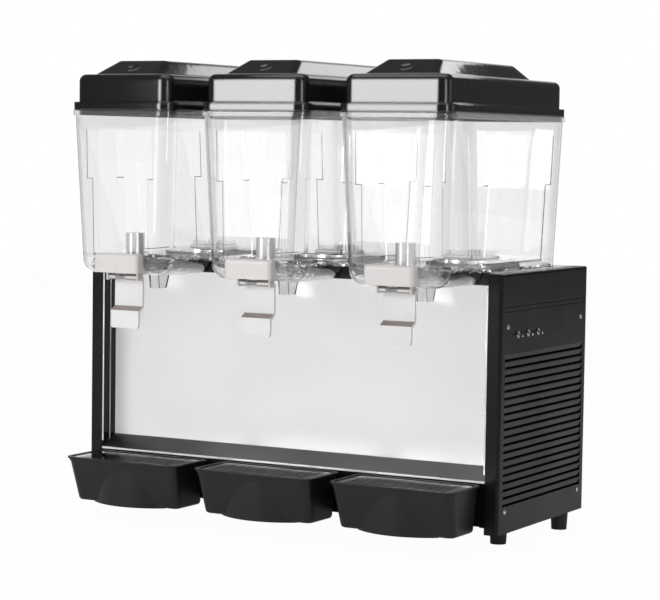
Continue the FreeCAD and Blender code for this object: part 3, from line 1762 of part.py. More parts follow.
def drip_grille(index, x):
    """Steel grille with wavy slots, lying on the tray's shelf."""
    name = f"Grille{index}"
    front = FRONT - s.grilleReach
    back = FRONT - s.grilleBack
    plate_rectangle = around(x, s.grilleHalf, front, back)
    plate = block(
        name + "Plate",
        s.grilleTop - s.grilleThick,
        s.grilleTop,
        plate_rectangle,
        plate_rectangle,
        s.grilleCorner,
    )
    middle = (front + back) / 2
    first = middle - s.slotPitch * ((GRILLE_SLOTS - 1) / 2)
    slots = Part.makeCompound(
        [wavy_slot(x, first + s.slotPitch * i) for i in range(GRILLE_SLOTS)]
    )
    node(cut(name, plate, fixed(name + "Slots", slots)), f"drip_grille_{index + 1}")


# Machinery inside the cabinet

def compressor():
    """Hermetic compressor on a foot plate."""
    foot = s.compressorFeet
    height = s.compressorTop - PAN_TOP
    outline = [
        (0, foot),
        (s.compressorRadius, foot),
        (s.compressorRadius, height),
        (0, height),
    ]
    x = COMPRESSOR_X
    y = FRONT + s.compressorBack
    body = turned_profile("CompressorShell", outline, x, y, PAN_TOP)
    edges = flat_edges(body.Tip.Shape, height.value)
    last = body.Tip
    rounded = body.newObject("PartDesign::Fillet", "CompressorRound")
    rounded.Base = (last, edges)
    bind(rounded, Radius=s.compressorRound)
    doc.recompute()
    reach = s.compressorRadius
    plate = box(
        "CompressorPlate",
        (x - reach, x + reach),
        (y - reach, y + reach),
        (PAN_TOP + foot - s.compressorPlate, PAN_TOP + foot),
    )
    mounts = [
        cylinder(
            f"CompressorMount{i}{j}",
            (x + s.mountSpread * i, y + s.mountSpread * j, PAN_TOP),
            s.mountRadius,
            foot - s.compressorPlate / 2,
        )
        for i in (-1, 1)
        for j in (-1, 1)
    ]
    node(join("Compressor", body, plate, *mounts), "compressor")


def condenser():
    """Finned condenser beside the fan."""
    front = FRONT + s.condenserFront
    body = doc.addObject("PartDesign::Body", "Condenser")
    core = body.newObject("PartDesign::AdditiveBox", "CondenserCore")
    bind(core, Length=s.condenserThick, Width=s.condenserWidth)
    bind(core, Height=s.condenserTop - PAN_TOP)
    at(core, CONDENSER_X, front, PAN_TOP)
    near = CONDENSER_X + s.condenserThick - s.finDepth
    far = CONDENSER_X + s.condenserThick + PAST
    foot = PAN_TOP + s.finPitch
    outline = [
        (near, foot),
        (far, foot),
        (far, foot + s.finGap),
        (near, foot + s.finGap),
    ]
    middle = front + s.condenserWidth / 2
    profile = sketch(body, "FinOutline", "XZ_Plane", outline, -middle)
    pocket = body.newObject("PartDesign::Pocket", "FinGap")
    pocket.Profile = profile
    pocket.Midplane = True
    bind(pocket, Length=s.condenserWidth - s.finPitch * 2)
    doc.recompute()
    count = int((s.condenserTop - PAN_TOP - s.finPitch * 2).value / s.finPitch.value)
    rows = body.newObject("PartDesign::LinearPattern", "FinRow")
    rows.Originals = [pocket]
    rows.Direction = (profile, ["V_Axis"])
    rows.Occurrences = count
    bind(rows, Length=s.finPitch * (count - 1))
    body.Tip = rows
    doc.recompute()
    node(body, "condenser")


def fan():
    """Fan motor on its stand, and the bladed fan on its shaft."""
    y = FRONT + s.condenserFront + s.condenserWidth / 2
    z = s.fanHeight
    motor_end = FAN_X - s.fanGap
    motor = cylinder(
        "FanMotorCase",
        (motor_end - s.fanMotorLength, y, z),
        s.fanMotorRadius,
        s.fanMotorLength,
        "X",
    )
    stand_middle = motor_end - s.fanMotorLength / 2
    stand = box(
        "FanStand",
        (stand_middle - s.fanStand / 2, stand_middle + s.fanStand / 2),
        (y - s.fanHub, y + s.fanHub),
        (PAN_TOP, z - s.fanMotorRadius / 2),
    )
    shaft = cylinder(
        "FanShaft",
        (motor_end - PAST, y, z),
        s.pivotRadius,
        s.fanGap + s.fanThick,
        "X",
    )
    node(join("FanMotor", motor, stand, shaft), "fan_motor")
    hub = cylinder("FanHub", (FAN_X, y, z), s.fanHub, s.fanThick, "X")
    blades = []
    for i in range(FAN_BLADES):
        blade = doc.addObject("Part::Box", f"FanBlade{i}")
        bind(blade, Length=s.sheet, Width=s.fanBlade, Height=s.fanRadius)
        around_axis = FreeCAD.Rotation(FreeCAD.Vector(1, 0, 0), 360 * i / FAN_BLADES)
        pitch = FreeCAD.Rotation(FreeCAD.Vector(0, 0, 1), s.fanPitch.value)
        blade.Placement = FreeCAD.Placement(
            FreeCAD.Vector(), around_axis.multiply(pitch)
        )
        blades.append(at(blade, FAN_X + s.fanBladeBack, y, z))
    bore = cylinder(
        "FanBore",
        (FAN_X - PAST, y, z),
        s.pivotRadius + s.runningFit,
        s.fanThick + 2 * PAST,
        "X",
    )
    node(cut("Fan", join("FanSolid", hub, *blades), bore), "condenser_fan")


def tube(name, points, radius):
    """A tube along straight runs with round bends."""
    bend = s.tubeBend.value
    width = size(radius).value
    spots = [FreeCAD.Vector(*[size(v).value for v in point]) for point in points]
    pieces = []
    here = spots[0]
    for before, corner, after in zip(spots, spots[1:], spots[2:]):
        back = (before - corner).normalize()
        ahead = (after - corner).normalize()
        start = corner + back * bend
        section = disc_face(here, start - here, width)
        pieces.append(section.extrude(start - here))
        axis = back.cross(ahead) * -1
        half_turn = back.getAngle(ahead) / 2
        middle = (back + ahead).normalize()
        centre = corner + middle * (bend / math.cos(half_turn))
        section = disc_face(start, back, width)
        pieces.append(section.revolve(centre, axis, 180 - math.degrees(2 * half_turn)))
        here = corner + ahead * bend
    section = disc_face(here, spots[-1] - here, width)
    pieces.append(section.extrude(spots[-1] - here))
    return fixed(name, pieces[0].fuse(pieces[1:]).removeSplitter())


def disc_face(centre, way, radius):
    """A round face square to a direction."""
    return Part.Face(Part.Wire(Part.Circle(centre, way, radius).toShape()))


def pipework():
    """Evaporator rings, suction header, discharge and liquid lines, drier."""
    ring = s.plateRadius - s.plateWall - s.fitGap - s.tubeRadius
    leg_y = PLATE_Y + ring
    coil_z = s.deckHeight + s.coilRise
    pieces = []
    for i in range(STATIONS):
        torus = doc.addObject("Part::Torus", f"EvaporatorRing{i}")
        bind(torus, Radius1=ring, Radius2=s.tubeRadius)
        pieces.append(at(torus, station_x(i), PLATE_Y, coil_z))
        pieces.append(
            cylinder(
                f"EvaporatorLeg{i}",
                (station_x(i), leg_y, s.headerHeight),
                s.legRadius,
                coil_z - s.headerHeight,
            )
        )
    port_x = COMPRESSOR_X - s.portOffset
    port_y = FRONT + s.compressorBack + s.portOffset
    shell_top = s.compressorTop + s.fitGap
    pieces.append(
        cylinder(
            "SuctionHeader",
            (station_x(0) - s.headerEnd, leg_y, s.headerHeight),
            s.headerRadius,
            s.stationPitch * (STATIONS - 1) + s.headerEnd * 2,
            "X",
        )
    )
    pieces.append(
        tube(
            "SuctionTube",
            [
                (port_x, leg_y, s.headerHeight),
                (port_x, port_y, s.headerHeight),
                (port_x, port_y, shell_top),
            ],
            s.tubeRadius,
        )
    )
    high_x = COMPRESSOR_X + s.portOffset
    high_y = FRONT + s.compressorBack - s.portOffset
    core_x = CONDENSER_X + (s.condenserThick - s.finDepth) / 2
    core_top = s.condenserTop + s.fitGap
    discharge = tube(
        "DischargeTube",
        [
            (high_x, high_y, shell_top),
            (high_x, high_y, s.dischargeHeight),
            (core_x, high_y, s.dischargeHeight),
            (core_x, high_y, core_top),
        ],
        s.tubeRadius,
    )
    liquid_y = FRONT + s.condenserFront + s.condenserWidth - s.drierLength / 2
    drier_x = CONDENSER_X - s.drierLength
    drier_end = drier_x - s.drierLength
    pieces.append(
        tube(
            "LiquidTube",
            [
                (core_x, liquid_y, core_top),
                (core_x, liquid_y, s.liquidHeight),
                (drier_x - PAST, liquid_y, s.liquidHeight),
            ],
            s.tubeRadius,
        )
    )
    pieces.append(
        cylinder(
            "FilterDrier",
            (drier_end, liquid_y, s.liquidHeight),
            s.drierRadius,
            s.drierLength,
            "X",
        )
    )
    pieces.append(
        tube(
            "CapillaryTube",
            [
                (drier_end + PAST, liquid_y, s.liquidHeight),
                (drier_end - s.capillaryRun, liquid_y, s.liquidHeight),
                (drier_end - s.capillaryRun, leg_y, s.headerHeight),
            ],
            s.capillaryRadius,
        )
    )
    circuit = join("LowSide", *pieces)
    node(group("Pipework", circuit, discharge), "pipework")


def control_box():
    """Control box behind the mirror panel."""
    front = MIRROR + s.sheet + s.fitGap
    body = block(
        "ControlBox",
        s.boxFoot,
        s.boxTop,
        around(size(0), s.boxHalf, front, front + s.boxDepth),
        around(size(0), s.boxHalf, front, front + s.boxDepth),
        s.bracketPost,
    )
    node(body, "control_box")


def power_inlet():
    """Mains inlet in the rear panel, with its flange, mouth and three contacts."""
    outside = REAR_PANEL + s.sheet
    x = INLET_X
    z = s.inletHeight
    flange = box(
        "InletFlange",
        (x - s.inletHalf, x + s.inletHalf),
        (outside, outside + s.rearRecess - s.fitGap * 2),
        (z - s.inletHalfTall, z + s.inletHalfTall),
    )
    body = box(
        "InletBody",
        (x - s.inletBody, x + s.inletBody),
        (outside - s.inletDeep, outside + PAST),
        (z - s.inletBodyTall, z + s.inletBodyTall),
    )
    mouth = box(
        "InletMouth",
        (x - s.socketHalf, x + s.socketHalf),
        (outside + s.rearRecess - s.socketDeep, BACK + PAST),
        (z - s.socketHalfTall, z + s.socketHalfTall),
    )
    contacts = [
        box(
            f"InletContact{i}",
            (
                x + s.socketPinSpread * i - s.socketPinHalf,
                x + s.socketPinSpread * i + s.socketPinHalf,
            ),
            (outside + s.rearRecess - s.socketDeep - PAST, outside),
            (z - s.socketPinFoot, z + s.socketPinTop),
        )
        for i in (-1, 0, 1)
    ]
    shell = cut("InletShell", join("InletSolid", flange, body), mouth)
    node(join("PowerInlet", shell, *contacts), "power_inlet")


def cabinet():
    """The cabinet's panels, feet and fasteners."""
    side_panel(-1, "side_panel_left")
    side_panel(1, "side_panel_right")
    panel_screws()
    front_panel()
    lower_front_panel()
    top_deck()
    base_pan()
    rear_panel()
    feet()
    switches()
    gaskets()


def machinery():
    """The cooling circuit and the electrical pieces."""
    compressor()
    condenser()
    fan()
    pipework()
    control_box()
    power_inlet()


def station(index):
    """Everything that one bowl needs."""
    x = station_x(index)
    cold_plate(index, x)
    stirrer(index, x)
    drive_magnet(index, x)
    stirrer_motor(index, x)
    bowl(index, x)
    lid(index, x)
    tap_cover(index, x)
    tap_pin(index, x)
    tap_lever(index, x)
    valve_plunger(index, x)
    tap_spring(index, x)
    drip_tray(index, x)
    drip_grille(index, x)


def check_and_write():
    """Refuse a failed feature or a broken shape, then write one file a node."""
    doc.recompute()
    for item in doc.Objects:
        if "Invalid" in item.State or "Error" in item.State:
            raise RuntimeError(f"{item.Name} failed: {item.State}")
    for item in nodes:
        if item.Shape.isNull() or not item.Shape.isValid() or not item.Shape.Solids:
            raise RuntimeError(f"{item.Label} has no sound shape")
    os.makedirs("parts", exist_ok=True)
    for item in nodes:
        item.Shape.exportStep(f"parts/{item.Label}.step")
    print(len(nodes), "nodes written")


cabinet()
machinery()
for number in range(STATIONS):
    station(number)
check_and_write()
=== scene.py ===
import json
import math

import bmesh
import bpy
from mathutils import Matrix, Vector


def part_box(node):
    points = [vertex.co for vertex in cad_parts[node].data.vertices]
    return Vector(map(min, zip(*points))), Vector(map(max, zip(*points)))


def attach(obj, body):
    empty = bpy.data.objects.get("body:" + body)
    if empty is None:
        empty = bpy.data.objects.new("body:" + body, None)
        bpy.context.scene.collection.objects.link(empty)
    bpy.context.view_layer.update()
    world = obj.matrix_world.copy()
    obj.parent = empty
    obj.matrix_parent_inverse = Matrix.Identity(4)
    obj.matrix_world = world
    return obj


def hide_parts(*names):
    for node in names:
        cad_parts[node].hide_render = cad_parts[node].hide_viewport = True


# The looks of a chilled juice dispenser with three bowls. Metres, with the
# origin on the floor, X along the row of bowls, Y to the back and Z up.

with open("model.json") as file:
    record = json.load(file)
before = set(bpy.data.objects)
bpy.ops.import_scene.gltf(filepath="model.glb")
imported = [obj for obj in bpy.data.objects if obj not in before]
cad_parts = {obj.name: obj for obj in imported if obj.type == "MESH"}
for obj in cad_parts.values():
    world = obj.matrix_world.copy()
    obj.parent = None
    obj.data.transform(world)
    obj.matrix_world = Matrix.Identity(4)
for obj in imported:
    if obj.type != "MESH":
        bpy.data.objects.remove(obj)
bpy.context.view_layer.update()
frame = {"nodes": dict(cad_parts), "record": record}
STATIONS = (1, 2, 3)

# The photograph's camera, fitted to points of the cabinet

PHOTO_WIDTH = 660
FOCAL_PIXELS = 2262.3
SENSOR = 36.0
CLIP_START = 0.05
CLIP_END = 50
CAMERA_PLACE = Vector((1.5799, -2.8164, 0.5411))
CAMERA_AZIMUTH = math.radians(29.0)
CAMERA_PITCH = math.radians(3.887)
CAMERA_ROLL = math.radians(0.848)


def set_camera():
    """The camera of the photograph."""
    flat = math.cos(CAMERA_PITCH)
    ahead = Vector(
        (
            -math.sin(CAMERA_AZIMUTH) * flat,
            math.cos(CAMERA_AZIMUTH) * flat,
            -math.sin(CAMERA_PITCH),
        )
    )
    level = Vector((math.cos(CAMERA_AZIMUTH), math.sin(CAMERA_AZIMUTH), 0))
    above = level.cross(ahead)
    right = level * math.cos(CAMERA_ROLL) + above * math.sin(CAMERA_ROLL)
    up = above * math.cos(CAMERA_ROLL) - level * math.sin(CAMERA_ROLL)
    data = bpy.data.cameras.new("photo_camera")
    data.sensor_width = SENSOR
    data.lens = FOCAL_PIXELS / PHOTO_WIDTH * SENSOR
    data.clip_start = CLIP_START
    data.clip_end = CLIP_END
    camera = bpy.data.objects.new("photo_camera", data)
    bpy.context.scene.collection.objects.link(camera)
    turn = Matrix((right, up, -ahead)).transposed().to_4x4()
    camera.matrix_world = Matrix.Translation(CAMERA_PLACE) @ turn
    bpy.context.scene.camera = camera


# Node trees

class Tree:
    """A node tree, with short ways to add nodes and link them."""

    def __init__(self, tree):
        self.nodes = tree.nodes
        self.links = tree.links

    def add(self, kind, operation=None):
        """A new node, with its operation if it has one."""
        node = self.nodes.new(kind)
        if operation:
            node.operation = operation
        return node

    def compute(self, operation, *values):
        """A maths node on sockets or plain numbers."""
        node = self.add("ShaderNodeMath", operation)
        for slot, value in enumerate(values):
            if isinstance(value, (int, float)):
                node.inputs[slot].default_value = value
            else:
                self.links.new(value, node.inputs[slot])
        return node.outputs["Value"]

    def dot(self, socket, way):
        """How far a direction points along a fixed one."""
        product = self.add("ShaderNodeVectorMath", "DOT_PRODUCT")
        product.inputs[1].default_value = way
        self.links.new(socket, product.inputs[0])
        return product.outputs["Value"]

    def ramp(self, value, start, end):
        """A value spread smoothly, where start and end are (from, to) pairs."""
        node = self.add("ShaderNodeMapRange")
        node.interpolation_type = "SMOOTHSTEP"
        node.inputs["From Min"].default_value = start[0]
        node.inputs["To Min"].default_value = start[1]
        node.inputs["From Max"].default_value = end[0]
        node.inputs["To Max"].default_value = end[1]
        self.links.new(value, node.inputs["Value"])
        return node.outputs["Result"]

    def mix_shaders(self, factor, first, second):
        """The first shader where the factor is 0, and the second where it is 1."""
        mix = self.add("ShaderNodeMixShader")
        self.links.new(factor, mix.inputs["Fac"])
        self.links.new(first, mix.inputs[1])
        self.links.new(second, mix.inputs[2])
        return mix.outputs[0]

    def glossy(self):
        """1 for rays that a gloss reflects, and 0 for others."""
        return self.add("ShaderNodeLightPath").outputs["Is Glossy Ray"]

    def seen(self):
        """1 for rays that show a thing straight or through clear plastic."""
        rays = self.add("ShaderNodeLightPath").outputs
        return self.compute("MAXIMUM", rays["Is Camera Ray"], rays["Is Transmission Ray"])


EVEN = (1, 1, 1)
RELIEF_DETAIL = 2.0
WEAR_DETAIL = 3.0
NOISE_LOW = 0.3
NOISE_HIGH = 0.7
RIPPLE_STRETCH = (1, 1, 2.2)
BEVEL_SAMPLES = 4
CORNER_GAIN = 2.0


class Paint(Tree):
    """A node material with one Principled shader, and helpers that add detail."""

    def __init__(self, name, colour, roughness, metallic=0.0, **sockets):
        self.material = bpy.data.materials.new(name)
        self.material.use_nodes = True
        super().__init__(self.material.node_tree)
        self.shader = self.nodes["Principled BSDF"]
        self.shader.inputs["Base Color"].default_value = (*colour, 1)
        self.shader.inputs["Roughness"].default_value = roughness
        self.shader.inputs["Metallic"].default_value = metallic
        for socket, value in sockets.items():
            self.shader.inputs[socket.replace("_", " ")].default_value = value
        self.normal = None

    def place(self, stretch):
        """Object coordinates, stretched on each axis."""
        where = self.add("ShaderNodeTexCoord")
        scale = self.add("ShaderNodeMapping")
        scale.inputs["Scale"].default_value = stretch
        self.links.new(where.outputs["Object"], scale.inputs["Vector"])
        return scale.outputs["Vector"]

    def noise(self, scale, detail, stretch):
        """A noise value over the surface."""
        texture = self.add("ShaderNodeTexNoise")
        texture.inputs["Scale"].default_value = scale
        texture.inputs["Detail"].default_value = detail
        self.links.new(self.place(stretch), texture.inputs["Vector"])
        return texture.outputs["Fac"]

    def wear(self, scale, low, high, stretch):
        """A slow noise, spread between two numbers."""
        node = self.add("ShaderNodeMapRange")
        node.inputs["From Min"].default_value = NOISE_LOW
        node.inputs["From Max"].default_value = NOISE_HIGH
        node.inputs["To Min"].default_value = low
        node.inputs["To Max"].default_value = high
        self.links.new(self.noise(scale, WEAR_DETAIL, stretch), node.inputs["Value"])
        return node.outputs["Result"]

    def vary_roughness(self, scale, low, high, stretch=EVEN):
        """Smudges and wear that change the gloss."""
        value = self.wear(scale, low, high, stretch)
        self.links.new(value, self.shader.inputs["Roughness"])
        return self

    def vary_colour(self, scale, low, high, stretch=EVEN):
        """Slow colour changes between two colours."""
        mix = self.add("ShaderNodeMix")
        mix.data_type = "RGBA"
        mix.inputs["A"].default_value = (*low, 1)
        mix.inputs["B"].default_value = (*high, 1)
        self.links.new(self.wear(scale, 0.0, 1.0, stretch), mix.inputs["Factor"])
        self.links.new(mix.outputs["Result"], self.shader.inputs["Base Color"])
        return self

    def blend_in(self, factor, colour):
        """Mix another colour over the base colour."""
        mix = self.add("ShaderNodeMix")
        mix.data_type = "RGBA"
        self.links.new(factor, mix.inputs["Factor"])
        base = self.shader.inputs["Base Color"]
        mix.inputs["A"].default_value = base.default_value
        if base.is_linked:
            self.links.new(base.links[0].from_socket, mix.inputs["A"])
        mix.inputs["B"].default_value = (*colour, 1)
        self.links.new(mix.outputs["Result"], base)

    def facing(self, way, least, colour, roughness=None):
        """Another colour and gloss where the surface faces a fixed direction."""
        normal = self.add("ShaderNodeNewGeometry").outputs["True Normal"]
        mask = self.compute("GREATER_THAN", self.dot(normal, way), least)
        self.blend_in(mask, colour)
        if roughness is not None:
            mix = self.add("ShaderNodeMix")
            rough = self.shader.inputs["Roughness"]
            self.links.new(mask, mix.inputs["Factor"])
            self.links.new(rough.links[0].from_socket, mix.inputs["A"])
            mix.inputs["B"].default_value = roughness
            self.links.new(mix.outputs["Result"], rough)
        return self

    def edge_tint(self, start, colour):
        """A deeper tint where clear plastic is seen edge on."""
        slant = self.add("ShaderNodeLayerWeight").outputs["Facing"]
        self.blend_in(self.ramp(slant, (start, 0.0), (1.0, 1.0)), colour)
        return self

    def corner_tint(self, colour):
        """A deeper tint at upright corners, where light passes through more plastic."""
        where = self.add("ShaderNodeNewGeometry")
        parts = self.add("ShaderNodeSeparateXYZ")
        self.links.new(where.outputs["Normal"], parts.inputs[0])
        product = self.compute("MULTIPLY", parts.outputs["X"], parts.outputs["Y"])
        corner = self.compute("ABSOLUTE", product)
        self.blend_in(self.compute("MULTIPLY", corner, CORNER_GAIN), colour)
        return self

    def bump_below(self, height, fade, scale, depth):
        """Ripples of moulded plastic below a height."""
        where = self.add("ShaderNodeTexCoord")
        parts = self.add("ShaderNodeSeparateXYZ")
        self.links.new(where.outputs["Object"], parts.inputs[0])
        mask = self.ramp(parts.outputs["Z"], (height, 1.0), (height + fade, 0.0))
        ripple = self.noise(scale, RELIEF_DETAIL, RIPPLE_STRETCH)
        return self.raise_by(self.compute("MULTIPLY", ripple, mask), depth)

    def round_edges(self, radius):
        """Edges that catch the light as if they had a small radius."""
        bevel = self.add("ShaderNodeBevel")
        bevel.samples = BEVEL_SAMPLES
        bevel.inputs["Radius"].default_value = radius
        return self.set_normal(bevel)

    def bump(self, scale, depth, stretch=EVEN):
        """Fine relief: grain, orange peel or brush lines."""
        return self.raise_by(self.noise(scale, RELIEF_DETAIL, stretch), depth)

    def raise_by(self, relief, depth):
        """Relief of a depth, from a value between 0 and 1."""
        bump = self.add("ShaderNodeBump")
        bump.inputs["Distance"].default_value = depth
        self.links.new(relief, bump.inputs["Height"])
        return self.set_normal(bump)

    def set_normal(self, node):
        """Chain a normal node after the ones before it."""
        if self.normal is not None:
            self.links.new(self.normal, node.inputs["Normal"])
        self.normal = node.outputs["Normal"]
        self.links.new(self.normal, self.shader.inputs["Normal"])
        if self.shader.inputs["Coat Weight"].default_value > 0:
            self.links.new(self.normal, self.shader.inputs["Coat Normal"])
        return self


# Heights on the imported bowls, down from their rims

BOWL_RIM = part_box("bowl_1")[1].z
RELIEF_TOP = BOWL_RIM - 0.026
RELIEF_STEP = BOWL_RIM - 0.094
RELIEF_FOOT = BOWL_RIM - 0.200
FLOOR_TOP = BOWL_RIM - 0.194
RIPPLE_TOP = BOWL_RIM - 0.204
RIPPLE_FADE = 0.006

# Ways that a surface can face

UP = (0, 0, 1)
DOWN = (0, 0, -1)
FRONT = (0, -1, 0)
LEFT = (-1, 0, 0)
RIGHT = (1, 0, 0)
FRONT_AND_UP = (0, -0.707, 0.707)

# Finishes, each by the name that the record or this script gives its slot

ACRYLIC = {"Transmission_Weight": 1.0, "IOR": 1.49}
TAP_MOULDING = {"IOR": 1.48, "Coat_Weight": 0.15}
TAP_WHITE = (0.84, 0.80, 0.79)
PADDLE_WHITE = (0.96, 0.95, 0.945)
TRIM_DARK = (0.014, 0.014, 0.015)


def black_paints():
    """Black plastic, paint, rubber and foam of the outside."""
    lid = Paint("lid_black", (0.011, 0.011, 0.0115), 0.08, IOR=1.5, Coat_Weight=1.0)
    lid.vary_roughness(9, 0.05, 0.12).round_edges(0.005).bump(60, 0.00006)
    panel = Paint("panel_black", (0.0045, 0.0045, 0.005), 0.3, IOR=1.34)
    panel.vary_roughness(14, 0.22, 0.34).round_edges(0.0009).bump(900, 0.00005)
    tray = Paint("tray_black", (0.009, 0.009, 0.0095), 0.33, IOR=1.46)
    tray.vary_roughness(25, 0.28, 0.4).round_edges(0.0014).bump(700, 0.00004)
    foot = Paint("foot_black", (0.012, 0.012, 0.012), 0.45)
    foot.vary_roughness(80, 0.38, 0.55).round_edges(0.0006).bump(500, 0.00008)
    inlet = Paint("inlet_black", (0.015, 0.015, 0.015), 0.4).bump(500, 0.00005)
    screen = Paint("screen_black", (0.012, 0.012, 0.013), 0.85).bump(1500, 0.0002)
    return {
        "black_gloss": lid,
        "black_panel": panel,
        "black_tray": tray,
        "foot_rubber": foot,
        "black_plastic": inlet,
        "dust_screen": screen,
    }


def clear_paints():
    """Bowls, with their thick margins, floors, steps painted grey as painted shade, and stirrers.
    """
    wall = Paint("bowl_clear", (0.98, 0.98, 0.98), 0.0, **ACRYLIC)
    wall.edge_tint(0.6, (0.3, 0.3, 0.3))
    thick = Paint("bowl_thick", (0.88, 0.88, 0.88), 0.0, **ACRYLIC)
    thick.corner_tint((0.66, 0.66, 0.66)).edge_tint(0.6, (0.25, 0.25, 0.25))
    thick.bump_below(RIPPLE_TOP, RIPPLE_FADE, 60, 0.0009)
    floor = Paint("bowl_floor", (0.95, 0.95, 0.95), 0.0, **ACRYLIC)
    floor.bump_below(FLOOR_TOP, RIPPLE_FADE, 42, 0.0011)
    # Painted shade: the steps round the pressed panels are grey, for the dark lines that they
    # show through refraction.
    step = Paint("bowl_step", (0.42, 0.42, 0.42), 0.25, Transmission_Weight=0.9, IOR=1.49)
    stirrer = Paint(
        "stirrer_clear", (0.95, 0.96, 0.96), 0.12, Transmission_Weight=0.92, IOR=1.45
    )
    stirrer.vary_roughness(40, 0.08, 0.2).bump(300, 0.00003)
    return {
        "clear_bowl": wall,
        "thick_clear": thick,
        "clear_floor": floor,
        "clear_step": step,
        "stirrer_plastic": stirrer,
    }


def white_paints():
    """Tap covers, and paddles with painted shade: a darker step and a darker underside."""
    cover = Paint("tap_white", TAP_WHITE, 0.32, **TAP_MOULDING)
    cover.vary_colour(30, TAP_WHITE, (0.81, 0.76, 0.75)).vary_roughness(40, 0.26, 0.38)
    cover.round_edges(0.0006).bump(420, 0.00003)
    paddle = Paint("paddle_white", PADDLE_WHITE, 0.32, **TAP_MOULDING)
    paddle.vary_colour(30, PADDLE_WHITE, (0.95, 0.94, 0.935)).vary_roughness(40, 0.26, 0.38)
    # Painted shade: the underside and the forward step of each paddle are darker, where shade
    # falls beneath the tap cover and the upper plate.
    paddle.facing(DOWN, 0.5, (0.45, 0.38, 0.36))
    paddle.facing(FRONT_AND_UP, 0.85, (0.36, 0.3, 0.285))
    paddle.round_edges(0.0006).bump(420, 0.00003)
    return {"white_plastic": cover, "paddle_white": paddle}


def steel_paints():
    """Polished and brushed steel that shows from outside, with painted shade on the deck's apron
    and a painted reflection on the panel's ledge.
    """
    valve = Paint("valve_steel", (0.66, 0.66, 0.67), 0.28, 1.0)
    valve.vary_roughness(60, 0.24, 0.34, (1, 1, 0.05)).bump(500, 0.00001, (1, 1, 0.03))
    plate = Paint("plate_steel", (0.9, 0.9, 0.9), 0.16, 1.0)
    plate.vary_roughness(60, 0.12, 0.22).bump(400, 0.00002)
    deck = Paint("deck_steel", (0.66, 0.66, 0.67), 0.2, 1.0)
    deck.vary_roughness(30, 0.14, 0.28, (1, 4, 1))
    # Painted shade: the deck's apron, which faces the front, is nearly black, for the shade
    # beneath the bowls.
    deck.facing(FRONT, 0.95, (0.05, 0.05, 0.052)).bump(500, 0.00001, (0.05, 1, 1))
    trim = Paint("trim_steel", (0.56, 0.56, 0.56), 0.3, 1.0)
    trim.vary_roughness(60, 0.25, 0.35, (1, 1, 0.1))
    trim.facing(RIGHT, 0.9, TRIM_DARK, 0.08).facing(LEFT, 0.9, TRIM_DARK, 0.08)
    trim.bump(300, 0.00001, (1, 1, 0.05))
    mirror = Paint("panel_steel", (0.83, 0.83, 0.83), 0.36, 1.0)
    mirror.vary_colour(6, (0.8, 0.8, 0.805), (0.85, 0.85, 0.85)).vary_roughness(7, 0.38, 0.46)
    # Painted reflection: the panel's ledge, which faces up, is darker, for the dark things that
    # it reflects.
    mirror.facing(UP, 0.5, (0.36, 0.36, 0.37), 0.3)
    mirror.round_edges(0.0012).bump(3.5, 0.0003)
    grille = Paint("grille_polished", (0.8, 0.8, 0.8), 0.09, 1.0)
    grille.vary_roughness(50, 0.06, 0.14).bump(14, 0.0007, (0.35, 1, 1))
    return {
        "steel": valve,
        "plate_steel": plate,
        "deck_steel": deck,
        "trim_steel": trim,
        "mirror_steel": mirror,
        "grille_steel": grille,
        "switch_metal": Paint("switch_chrome", (0.7, 0.7, 0.7), 0.12, 1.0).bump(500, 0.00002),
    }


def inner_paints():
    """What the cabinet holds, and the gaskets."""
    pan = Paint("pan_galvanised", (0.5, 0.51, 0.52), 0.4, 1.0)
    pan.vary_colour(60, (0.42, 0.43, 0.44), (0.6, 0.61, 0.62)).vary_roughness(50, 0.32, 0.5)
    copper = Paint("tube_copper", (0.72, 0.36, 0.22), 0.28, 1.0)
    copper.vary_colour(40, (0.74, 0.4, 0.26), (0.5, 0.26, 0.17)).vary_roughness(50, 0.2, 0.42)
    compressor = Paint("compressor_black", (0.015, 0.015, 0.016), 0.3).bump(120, 0.0001)
    return {
        "galvanised": pan,
        "copper": copper,
        "compressor_paint": compressor,
        "condenser_fins": Paint("fins_black", (0.03, 0.03, 0.03), 0.5, 0.3).bump(300, 0.0001),
        "grey_plastic": Paint("box_grey", (0.25, 0.25, 0.26), 0.5).bump(400, 0.00006),
        "gasket": Paint("gasket_rubber", (0.55, 0.55, 0.53), 0.7).bump(300, 0.0001),
        "motor_case": Paint("motor_zinc", (0.5, 0.5, 0.5), 0.35, 1.0).bump(200, 0.00005),
        "magnet": Paint("magnet_ferrite", (0.03, 0.03, 0.032), 0.55).bump(400, 0.00006),
    }


def make_paints():
    """The material of every finish."""
    materials = {}
    for paints in (black_paints, clear_paints, white_paints, steel_paints, inner_paints):
        materials.update({slot: paint.material for slot, paint in paints().items()})
    return materials


def paint_nodes(materials):
    """Give every CAD node the finish of its slot, or one of its own."""
    own = {"top_deck": "deck_steel"}
    for station in STATIONS:
        own[f"tap_lever_{station}"] = "paddle_white"
        own[f"cold_plate_{station}"] = "plate_steel"
    for part in frame["record"]["subparts"]:
        finish = own.get(part["node"], part["material_slot"])
        data = frame["nodes"][part["node"]].data
        data.materials.clear()
        data.materials.append(materials[finish])


# Clear bowls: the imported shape, with sloped steps round its pressed panels

BOWL_FINISHES = ("clear_bowl", "thick_clear", "clear_step", "clear_floor")
RELIEF_HEIGHTS = (RELIEF_STEP, RELIEF_FOOT)
RELIEF_HALF = 0.055
RELIEF_NOTCH = 0.009
RELIEF_FRONT = 0.010
RELIEF_BACK = 0.057
RELIEF_SIDE_NOTCH = 0.018
RELIEF_DEPTH = 0.0012
STEP_SLOPE = 0.0012
STEP_THICK = 0.00192
SIDE_REACH = 0.06
NEAR_ENOUGH = 0.0002

# Least part of a normal on an axis, for a face that is straight, level or turned down

STRAIGHT = 0.9
LEVEL = 0.7
DOWNWARD = 0.5


